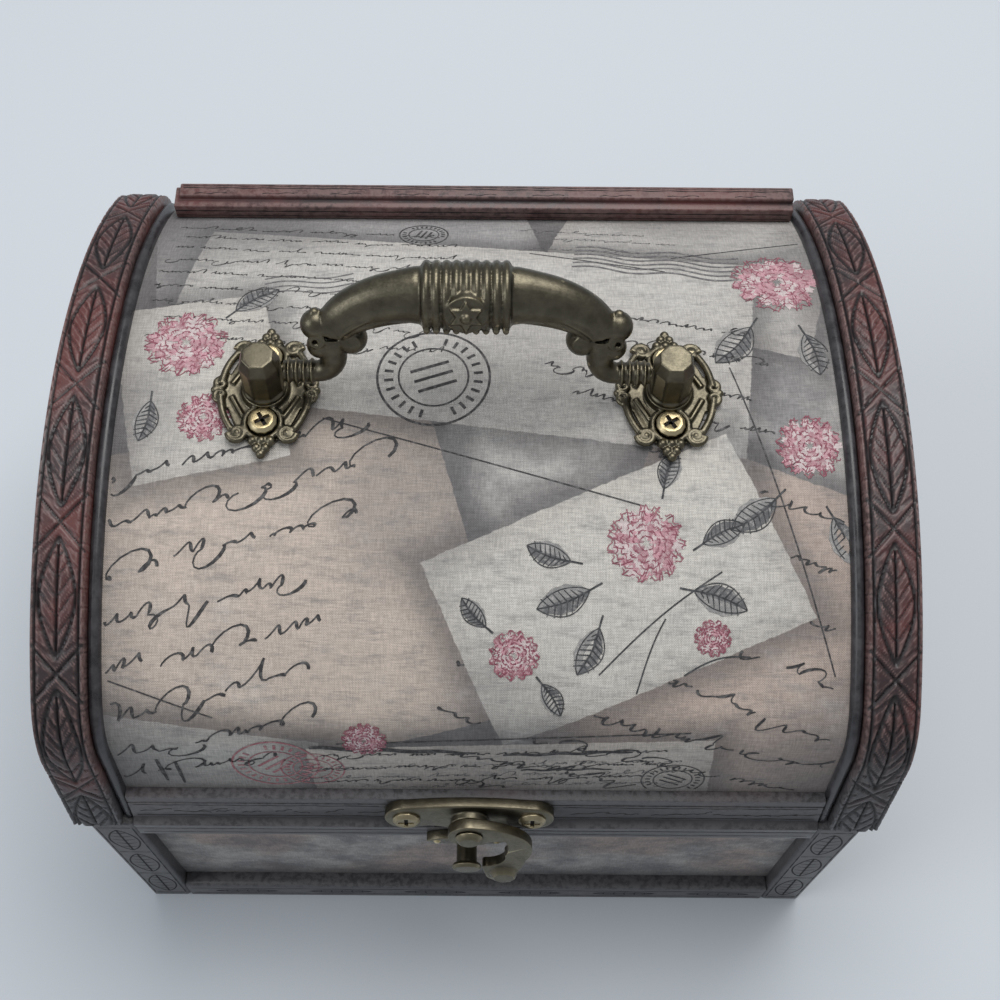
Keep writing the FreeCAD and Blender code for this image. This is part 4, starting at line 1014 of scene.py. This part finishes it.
# node, width of the rounded edge, body, slot, material, steps over the edge
wood = ("carved_trim", carvedWood, 2)
metal = ("bronze", bronze, 3)
softEdges = [(end + "_" + hand + "_post", 0.5, "body", *wood)
             for end in ("front", "back") for hand in ("left", "right")]
softEdges += [(side + "_" + level + "_rail", 0.5, "body", *wood)
              for side in ("front", "back", "left", "right") for level in ("top", "bottom")]
softEdges += [
    ("back_batten", 0.5, "lid", *wood), ("lid_back_rail", 0.5, "lid", *wood),
    ("lid_front_rail", 0.4, "lid", *wood), ("latch_plate", 0.45, "lid", *metal),
    ("latch_hook", 0.45, "hook", *metal), ("latch_rivet", 0.3, "lid", *metal),
    ("catch_plate", 0.35, "body", *metal), ("catch_peg", 0.3, "body", *metal),
    ("handle_screws", 0.15, "lid", "brass", screwBrass, 2),
    ("latch_screws", 0.15, "lid", "brass", hingeBrass, 2),
]
dressNodes()
for node, *look in softEdges:
    softened(node, camelName(node), *look)
print("frame pieces softened")


# the cuts in the flat trim are thin dark strokes just off its faces
def leafCuts(middle, half, long, upright, pen=0.22):
    # a carved leaf: outline, rib and veins
    strokes = []

    def onTrim(along, across, width):
        u, v = (across, along) if upright else (along, across)
        return (middle[0] + u, middle[1] + v, width)

    for side in (-1, 1):
        strokes.append([onTrim(long * (k / 12 - 0.5), side * half * math.sin(math.pi * k / 12) ** 0.7, pen)
                        for k in range(13)])
        for k in range(1, 6):
            along = long * (k / 6 - 0.5)
            reach = 0.8 * half * math.sin(math.pi * k / 6) ** 0.7
            strokes.append([onTrim(along + 0.35 * reach * j / 3, side * reach * j / 3, pen * (1 - 0.2 * j))
                            for j in range(4)])
    strokes.append([onTrim(long * (k / 6 - 0.5), 0.0, pen * 1.2) for k in range(7)])
    return strokes


def straight(start, end, pen, wave=0.12):
    count = max(6, int(math.hypot(end[0] - start[0], end[1] - start[1]) / 2.5))
    return drawnLine(start, end, count, pen, (wave, 1.7), (0.8, 0.4, 0.0, 2.3))


bodyFace = {
    "x": 90.0, "y": 80.0, "off": 0.03, "postMiddle": 84.75, "sidePostMiddle": 74.75, "postEdge": 4.2,
    "postLeaves": (14.5, 37.5, 60.5), "postLines": (3.0, 26.0, 49.0, 72.0), "postLineHalf": 3.8,
    "railIn": 6.5, "railLines": ((2.6, 0.2), (8.2, 0.2), (69.2, 0.18)), "railLeaf": 5.4, "railPitch": 26,
}


def cutTheBody():
    off = bodyFace["off"]
    faces = {
        "front": (bodyFace["postMiddle"], lambda u, v: Vector((u, -bodyFace["y"] - off, v)) * mm),
        "back": (bodyFace["postMiddle"], lambda u, v: Vector((-u, bodyFace["y"] + off, v)) * mm),
        "right": (bodyFace["sidePostMiddle"], lambda u, v: Vector((bodyFace["x"] + off, u, v)) * mm),
        "left": (bodyFace["sidePostMiddle"], lambda u, v: Vector((-bodyFace["x"] - off, -u, v)) * mm),
    }
    for name, (postMiddle, spot) in faces.items():
        strokes = []
        for side in (-1, 1):
            post = side * postMiddle
            for middle in bodyFace["postLeaves"]:
                strokes += leafCuts((post, middle), 3.4, 19, True)
            half, edge = bodyFace["postLineHalf"], bodyFace["postEdge"]
            for line in bodyFace["postLines"]:
                strokes.append(straight((post - half, line), (post + half, line), 0.24, 0.0))
            for u in (post - edge, post + edge):
                strokes.append(straight((u, 3), (u, 72), 0.16, 0.0))
        reach = postMiddle - bodyFace["railIn"]
        for line, pen in bodyFace["railLines"]:
            strokes.append(straight((-reach, line), (reach, line), pen))
        for index in range(int(2 * reach / bodyFace["railPitch"])):
            middle = (-reach + 15 + index * bodyFace["railPitch"], bodyFace["railLeaf"])
            strokes += leafCuts(middle, 1.7, 17, False, 0.16)
        obj = ribbonMesh(name + "BodyCuts", strokes, spot)
        finishPiece(obj, "body", inks["cutShade"])


lidCuts = {"lift": 2.33, "battenTop": 122.24, "battenFace": 64.96, "seed": 5}


def cutTheLid():
    def onRail(u, v):
        return onLid(u, v - frontReach, lidCuts["lift"])

    def onBatten(u, v):
        return Vector((u, v, lidCuts["battenTop"])) * mm

    def onBattenFace(u, v):
        return Vector((u, lidCuts["battenFace"], v)) * mm

    rail = [straight((left, line), (right, line), pen) for left, right, line, pen in
            ((-78, -11, 2.9, 0.18), (9, 78, 2.9, 0.18), (-78, -22, 8.0, 0.14), (20, 78, 8.0, 0.14))]
    rng = random.Random(lidCuts["seed"])
    for u, last in ((-77, -24), (22, 77)):
        while u < last:
            start = (u, 4.4 + rng.uniform(0, 0.6))
            end = (u + rng.uniform(3, 9), 4.9 + rng.uniform(-0.4, 1.6))
            rail.append(straight(start, end, 0.16, 0.25))
            u += rng.uniform(3.5, 8)
    top = [straight((-75, 69.6), (78, 69.6), 0.14), straight((-75, 70.3), (78, 70.3), 0.10)]
    for u in range(-72, 72, 17):
        top.append(straight((u, 67.8), (u + 8, 68.1), 0.10, 0.2))
    face = [straight((-77, 118.9), (78, 118.9), 0.20, 0.05), straight((-77, 117.2), (78, 117.2), 0.12, 0.05)]
    for name, strokes, spot in (("frontRailCuts", rail, onRail), ("battenTopCuts", top, onBatten),
                                ("battenFaceCuts", face, onBattenFace)):
        finishPiece(ribbonMesh(name, strokes, spot), "lid", inks["cutShade"])


cutTheBody()
cutTheLid()
print("trim cut")


# the bronze castings: rings of points are skinned, joined and cast into one piece
def skinned(name, rings):
    count = len(rings[0])
    verts = [point * mm for ring in rings for point in ring]
    faces = [tuple(reversed(range(count))), tuple(range(len(verts) - count, len(verts)))]
    for level in range(len(rings) - 1):
        for i in range(count):
            j = (i + 1) % count
            a, b = level * count, (level + 1) * count
            faces.append((a + i, a + j, b + j, b + i))
    obj = meshObject(name, verts, faces)
    editAll(obj)
    bpy.ops.mesh.normals_make_consistent(inside=False)
    bpy.ops.object.mode_set(mode="OBJECT")
    return obj


def allRound(count):
    return [2 * math.pi * k / count for k in range(count)]


def tube(name, points, radii, sides=12):
    rings = []
    for i, point in enumerate(points):
        heading = (points[min(i + 1, len(points) - 1)] - points[max(i - 1, 0)]).normalized()
        side = heading.cross(Vector((0, 1, 0.02))).normalized()
        up = side.cross(heading).normalized()
        radius = radii[i] if isinstance(radii, list) else radii
        rings.append([point + (side * math.cos(a) + up * math.sin(a)) * radius
                      for a in allRound(sides)])
    return skinned(name, rings)


def ball(centre, radius):
    clearChoice()
    bpy.ops.mesh.primitive_uv_sphere_add(segments=20, ring_count=12, radius=radius * mm,
                                         location=Vector(centre) * mm)
    return settle(bpy.context.object, "ball")


def drum(radius, low, high, sides=32, topRadius=None):
    rings = []
    for z, r in ((low, radius), (high, topRadius or radius)):
        turns = [2 * math.pi * (k + 0.5) / sides for k in range(sides)]
        rings.append([Vector((r * math.cos(a), r * math.sin(a), z)) for a in turns])
    return skinned("drum", rings)


def castTogether(pieces, name, voxel, rounds=3):
    whole = joinAll(pieces, name)
    remesh = whole.modifiers.new("cast", "REMESH")
    remesh.mode = "VOXEL"
    remesh.voxel_size = voxel * mm
    smooth = whole.modifiers.new("smooth", "SMOOTH")
    smooth.factor = 0.5
    smooth.iterations = rounds
    applyAll(whole)
    settle(whole, name)
    choose(whole)
    bpy.ops.object.shade_smooth()
    return whole


bailShape = {
    "pivot": (-2.5, 0.3, 145.0), "lean": 20.0, "arch": 19.6, "armRadius": 6.1, "armHalf": 5.2, "narrow": 0.3,
    "sweep": 78.0, "start": 8.4, "out": 28.3, "knotUp": 8.6, "neck": 2.9, "neckEnd": 2.3, "bend": 3.9,
    "end": 39.35, "cushion": 18.4, "core": 6.4, "rib": 0.9, "ribs": 9, "ringPitch": 1.65,
    "ringRadii": (2.3, 2.85, 3.0, 2.85, 2.3), "star": (3.7, 2.0), "disc": ((2.0, 4.6), (-0.1, 4.4)),
    "studRows": (-38, -52, -66), "stud": 0.75,
    # the flutes' level across the arm, and where along it they begin
    "flutes": ((-0.86, 0.18), (-0.60, 0.34), (-0.30, 0.50)),
    # balls and curls of the knot: sideways and up from its middle, and radius
    "balls": ((3.3, 3.6, 3.3), (2.6, -1.6, 3.0), (-4.0, 0.2, 3.5), (3.4, 6.4, 1.2)),
    "curls": ((-4.0, 0.2, 2.3), (3.2, 1.0, 2.0)), "curlFace": 2.55,
}


def armSpot(share):
    turn = math.radians(bailShape["sweep"] * share)
    x = bailShape["start"] + (bailShape["out"] - bailShape["start"]) * math.sin(turn)
    z = bailShape["arch"] - (bailShape["arch"] - bailShape["knotUp"]) * (1 - math.cos(turn))
    return x, z, turn, 1 - bailShape["narrow"] * share


def bailRing(x, z, turn, inPlane, half, sides=32):
    out = Vector((math.sin(turn), 0, math.cos(turn)))
    return [Vector((x, 0, z)) + out * inPlane * math.cos(a) + Vector((0, half * math.sin(a), 0))
            for a in allRound(sides)]


def bailSide(way):
    pieces = []
    rings = []
    for k in range(17):
        x, z, turn, size = armSpot(k / 16)
        swell = 1.0 + 0.05 * math.exp(-((k - 1.2) / 0.9) ** 2)
        rings.append(bailRing(x, z, turn, bailShape["armRadius"] * size * swell,
                              bailShape["armHalf"] * size * swell))
    pieces.append(skinned("arm", rings))
    thin = [0.2 + 0.45 * math.sin(math.pi * (k + 1) / 16) for k in range(15)]
    for level, first in bailShape["flutes"]:
        for face in (-1, 1):
            path = []
            for k in range(15):
                x, z, turn, size = armSpot(first + (1 - first) * k / 14)
                outward = Vector((math.sin(turn), 0, math.cos(turn)))
                spot = Vector((x, 0, z)) + outward * bailShape["armRadius"] * size * level * 0.98
                spot.y = face * bailShape["armHalf"] * size * math.sqrt(1 - level * level) * 0.98
                path.append(spot)
            pieces.append(tube("flute", path, thin))
    out, up, thick = bailShape["out"], bailShape["knotUp"], bailShape["neck"]
    neck = [bailRing(out, up + 1, math.pi / 2, thick, thick)]
    for k in range(7):
        turn = math.pi / 2 * (1 - k / 6)
        size = thick + (bailShape["neckEnd"] - thick) * k / 6
        x = out + bailShape["bend"] * (1 - math.sin(turn))
        z = bailShape["bend"] * (1 - math.cos(turn))
        neck.append(bailRing(x, z, turn, size, size))
    neck.append(bailRing(bailShape["end"], 0, 0, bailShape["neckEnd"], bailShape["neckEnd"]))
    pieces.append(skinned("neck", neck))
    for k in range(4):
        x = out + bailShape["bend"] + 0.6 + bailShape["ringPitch"] * k
        rings = [bailRing(x + 0.18 * j, 0, 0, r, r) for j, r in enumerate(bailShape["ringRadii"])]
        pieces.append(skinned("ring", rings))
    pieces += [ball((out + a, 0, up + b), radius) for a, b, radius in bailShape["balls"]]
    for across, high, radius in bailShape["curls"]:
        for face in (-1, 1):
            path = []
            for k in range(22):
                a = math.radians(60 + 25 * k)
                r = radius * (1 - 0.035 * k)
                path.append(Vector((out + across + r * math.cos(a), face * bailShape["curlFace"],
                                    up + high + r * math.sin(a))))
            pieces.append(tube("curl", path, 0.5))
    for piece in pieces:
        if way < 0:
            for vertex in piece.data.vertices:
                vertex.co.x = -vertex.co.x
            piece.data.flip_normals()
    return pieces


def makeBail():
    pieces = bailSide(1) + bailSide(-1)
    pitch = bailShape["cushion"] / bailShape["ribs"]
    rings = []
    for k in range(bailShape["ribs"] * 8 + 1):
        x = -bailShape["cushion"] / 2 + pitch * k / 8
        r = bailShape["core"] + bailShape["rib"] * abs(math.sin(math.pi * k / 8)) ** 0.7
        rings.append(bailRing(x, bailShape["arch"], 0, r, r, 40))
    pieces.append(skinned("cushion", rings))
    arch, reach = bailShape["arch"], bailShape["core"] + bailShape["rib"]
    star = []
    for depth in (0.2, -0.9):
        ring = []
        for k in range(12):
            a, r = math.pi * (0.5 + k / 6), bailShape["star"][k % 2]
            ring.append(Vector((r * math.cos(a), depth - reach, arch + r * math.sin(a))))
        star.append(ring)
    pieces += [skinned("star", star), ball((0, -reach - 0.9, arch), 1.15)]
    disc = [[Vector((radius * math.cos(a), depth - reach, arch + radius * math.sin(a))) for a in allRound(28)]
            for depth, radius in bailShape["disc"]]
    pieces.append(skinned("disc", disc))
    for row, turn in enumerate(bailShape["studRows"]):
        for k in range(9):
            x, a = (k - 4) * pitch, math.radians(turn)
            if row > 0 or abs(x) >= 4.5:
                spot = (x, -reach * math.cos(a), arch + reach * math.sin(a))
                pieces.append(ball(spot, bailShape["stud"]))
    bail = castTogether(pieces, "castBail", 0.3)
    lean = Matrix.Rotation(math.radians(bailShape["lean"]), 4, "X")
    for vertex in bail.data.vertices:
        vertex.co = (lean.inverted() @ vertex.co) + Vector(bailShape["pivot"]) * mm
    return finishPiece(bail, "bail", bronze, ["bail_handle"])


rosetteShape = {
    "tip": 11.2, "shoulder": (5.4, 10.4), "waist": (8.0, 4.6), "neck": (2.6, 12.8), "end": 15.6, "web": 0.9,
    "relief": 2.2, "pad": 5.5, "screw": 8.2, "eye": 3.95, "eyeThick": 0.62, "bead": 1.08, "beadPitch": 1.95,
    "beadRows": ((3, 12.6), (2, 14.3), (1, 15.7)), "bow": 0.85, "innerBow": 0.5, "tipBall": 0.95,
    "curl": 2.1, "curlThick": 0.72, "tipCurl": 1.5, "tipCurlThick": 0.6,
}
postShape = {"radius": 4.6, "shoulder": 148.0, "top": 151.0, "topRadius": 3.6, "foot": 4.9, "footHigh": 1.2}
handlePlace = {"left": -46.8, "right": 41.8, "y": 0.3, "screws": (-7.9, 8.5), "screwTop": 137.86}


def onDome(x, y, height):
    # millimetres from the rosette's middle; the dome falls away from its top line, by its two crowns' radii
    crowns = lidShape["front"]["crown"] + lidShape["back"]["crown"]
    return Vector((x, y, lidShape["apex"] + height - y * y / crowns))


def scrollPath(middle, radius, start, turns, height):
    path = []
    for k in range(20):
        a = math.radians(start + turns * 360 * k / 19)
        r = radius * (1 - 0.75 * k / 19)
        path.append(onDome(middle[0] + r * math.cos(a), middle[1] + r * math.sin(a), height))
    return path


def flatTube(path, radius):
    # like tube, for paths that lie flat
    rings = []
    for i, point in enumerate(path):
        heading = (path[min(i + 1, len(path) - 1)] - path[max(i - 1, 0)]).normalized()
        side = heading.cross(Vector((0, 0, 1))).normalized()
        rings.append([point + side * radius * math.cos(a) + Vector((0, 0, 1)) * radius * math.sin(a)
                      for a in allRound(12)])
    return skinned("bar", rings)


def setOnLid(cast, x, node):
    for vertex in cast.data.vertices:
        vertex.co += Vector((x, handlePlace["y"], 0)) * mm
    return finishPiece(cast, "lid", bronze, [node])


def makeRosette(x, name, node):
    shape = rosetteShape
    tip, apex = shape["tip"], lidShape["apex"]
    shoulderX, shoulderY = shape["shoulder"]
    quarter = [(tip, 0), shape["waist"], shape["shoulder"], shape["neck"], (0, shape["end"])]
    loop = quarter + [(-a, b) for a, b in reversed(quarter[:-1])]
    loop += [(a, -b) for a, b in reversed(loop[1:-1])]
    pieces = [skinned("web", [[onDome(a, b, height) for a, b in loop] for height in (0.0, shape["web"])]),
              drum(shape["pad"], apex, apex + shape["relief"] + 0.1, 32, shape["pad"] - 0.5)]
    for up in (-1, 1):
        ring = [onDome(shape["eye"] * math.cos(a), up * shape["screw"] + shape["eye"] * math.sin(a), 1.3)
                for a in allRound(28) + [2 * math.pi]]
        pieces.append(flatTube(ring, shape["eyeThick"]))
        for count, reach in shape["beadRows"]:
            for k in range(count):
                spot = onDome((k - (count - 1) / 2) * shape["beadPitch"], up * reach, 1.25)
                pieces.append(ball(spot, shape["bead"]))
        for side in (-1, 1):
            bow = []
            for k in range(13):
                t = k / 12
                a = tip - 1.4 + (shoulderX + 2.8 - tip) * t
                b = 1.4 + (shoulderY - 1.9) * t
                swell = 0.9 * math.sin(math.pi * t)
                bow.append(onDome(side * (a + swell * 0.6), up * (b + swell * 0.4), 1.2))
            inner = [onDome(side * (7.4 - 3.0 * k / 8), up * (1.6 + 5.2 * k / 8), 1.0) for k in range(9)]
            corner = (side * shoulderX, up * (shoulderY + 0.4))
            curl = scrollPath(corner, shape["curl"], 0 if side > 0 else 180, side * up * 1.35, 1.3)
            tipCurl = scrollPath((side * (tip - 1.3), up * 1.5), shape["tipCurl"], up * 90,
                                 -side * up * 1.2, 1.2)
            pieces += [flatTube(bow, shape["bow"]), flatTube(inner, shape["innerBow"]),
                       flatTube(curl, shape["curlThick"]), ball(onDome(*corner, 1.3), 0.85),
                       flatTube(tipCurl, shape["tipCurlThick"])]
    for side in (-1, 1):
        pieces.append(ball(onDome(side * tip, 0, 0.9), shape["tipBall"]))
    return setOnLid(castTogether(pieces, name, 0.24, 2), x, node)


def makePost(x, name, node):
    shape = postShape
    base = lidShape["apex"] + rosetteShape["relief"]
    pieces = [drum(shape["radius"], base, shape["shoulder"], 8),
              drum(shape["radius"], shape["shoulder"], shape["top"], 8, shape["topRadius"]),
              drum(shape["foot"], base, base + shape["footHigh"])]
    return setOnLid(castTogether(pieces, name, 0.28, 4), x, node)


makeBail()
for side in ("left", "right"):
    makeRosette(handlePlace[side], side + "Rosette", side + "_rosette")
    makePost(handlePlace[side], side + "HandlePost", side + "_handle_post")
print("bronze cast")


crossShape = {"long": 1.72, "wide": 0.40, "turn": 30}
latchPlace = {"x": -1.4, "y": -77.704, "z": 82.55, "screws": 14.3, "screwTop": 2.96}


def makeScrewCrosses():
    # the dark bottoms of the crossed slots
    verts, faces = [], []

    def cross(centre, right, up, turn):
        for extra in (0, 90):
            a = math.radians(turn + extra)
            along = (right * math.cos(a) + up * math.sin(a)) * crossShape["long"]
            across = (up * math.cos(a) - right * math.sin(a)) * crossShape["wide"]
            first = len(verts)
            corners = (along + across, across - along, -along - across, along - across)
            verts.extend((centre + corner) * mm for corner in corners)
            faces.append((first, first + 1, first + 2, first + 3))

    right = Vector((1, 0, 0))
    for x in (handlePlace["left"], handlePlace["right"]):
        for y in handlePlace["screws"]:
            cross(Vector((x, y, handlePlace["screwTop"])), right, Vector((0, 1, 0)), crossShape["turn"])
    lean = math.radians(lidShape["front"]["lean"])
    out = Vector((0, -math.cos(lean), math.sin(lean)))
    for side in (-1, 1):
        middle = Vector((latchPlace["x"] + side * latchPlace["screws"], latchPlace["y"], latchPlace["z"]))
        cross(middle + out * latchPlace["screwTop"], right, Vector((0, math.sin(lean), math.cos(lean))), 0)
    finishPiece(meshObject("screwCrosses", verts, faces), "lid", inks["cutShade"])


makeScrewCrosses()
print("screws slotted")

studio = {"floor": (0.62, 0.66, 0.70), "size": 3.0, "world": (0.80, 0.84, 0.88), "worldLevel": 0.42}


def makeFloor():
    clearChoice()
    bpy.ops.mesh.primitive_plane_add(size=studio["size"], location=(0, 0, -0.0002))
    floor = bpy.context.object
    floor.name = "studioFloor"
    material, tree, shader = newMaterial("studioFloor", studio["floor"], 0.9)
    floor.data.materials.append(material)


def makeLamp(name, place, aim, size, power, colour):
    clearChoice()
    bpy.ops.object.light_add(type="AREA", location=place)
    lamp = bpy.context.object
    lamp.name = name
    lamp.data.size = size
    lamp.data.energy = power
    lamp.data.color = colour
    lamp.rotation_euler = (Vector(aim) - Vector(place)).to_track_quat("-Z", "Y").to_euler()


def makeWorld():
    world = bpy.data.worlds.new("softRoom")
    bpy.context.scene.world = world
    world.use_nodes = True
    back = world.node_tree.nodes["Background"]
    back.inputs[0].default_value = (*studio["world"], 1)
    back.inputs[1].default_value = studio["worldLevel"]


makeFloor()
makeLamp("overhead", (0.15, 0.30, 1.0), (0, 0, 0.1), 0.7, 7.4, (1.0, 0.985, 0.97))
makeLamp("leftWindow", (-0.9, -0.3, 0.8), (0, 0, 0.08), 0.6, 3.4, (0.94, 0.965, 1.0))
makeWorld()

# the camera stands where the photograph was taken from
cameraShape = {"spot": (1.41, -163.9, 398.6), "down": 62.30, "roll": 0.0075, "lens": 50.4,
               "shift": (0.016, 0.0)}


def makeCamera():
    clearChoice()
    bpy.ops.object.camera_add(location=Vector(cameraShape["spot"]) * mm)
    camera = bpy.context.object
    camera.name = "photoCamera"
    down = math.radians(cameraShape["down"])
    look = Vector((0, math.cos(down), -math.sin(down)))
    up = Vector((0, math.sin(down), math.cos(down)))
    right = Vector((1, 0, 0))
    a = cameraShape["roll"]
    tiltedRight = right * math.cos(a) + up * math.sin(a)
    tiltedUp = up * math.cos(a) - right * math.sin(a)
    camera.matrix_world = Matrix.Translation(Vector(cameraShape["spot"]) * mm) @ Matrix(
        (tiltedRight, tiltedUp, -look)).transposed().to_4x4()
    camera.data.sensor_width = 36
    camera.data.lens = cameraShape["lens"]
    camera.data.shift_x, camera.data.shift_y = cameraShape["shift"]
    camera.data.clip_start = 0.01
    bpy.context.scene.camera = camera


makeCamera()
bpy.context.scene.view_settings.view_transform = "Standard"
print("stage set")
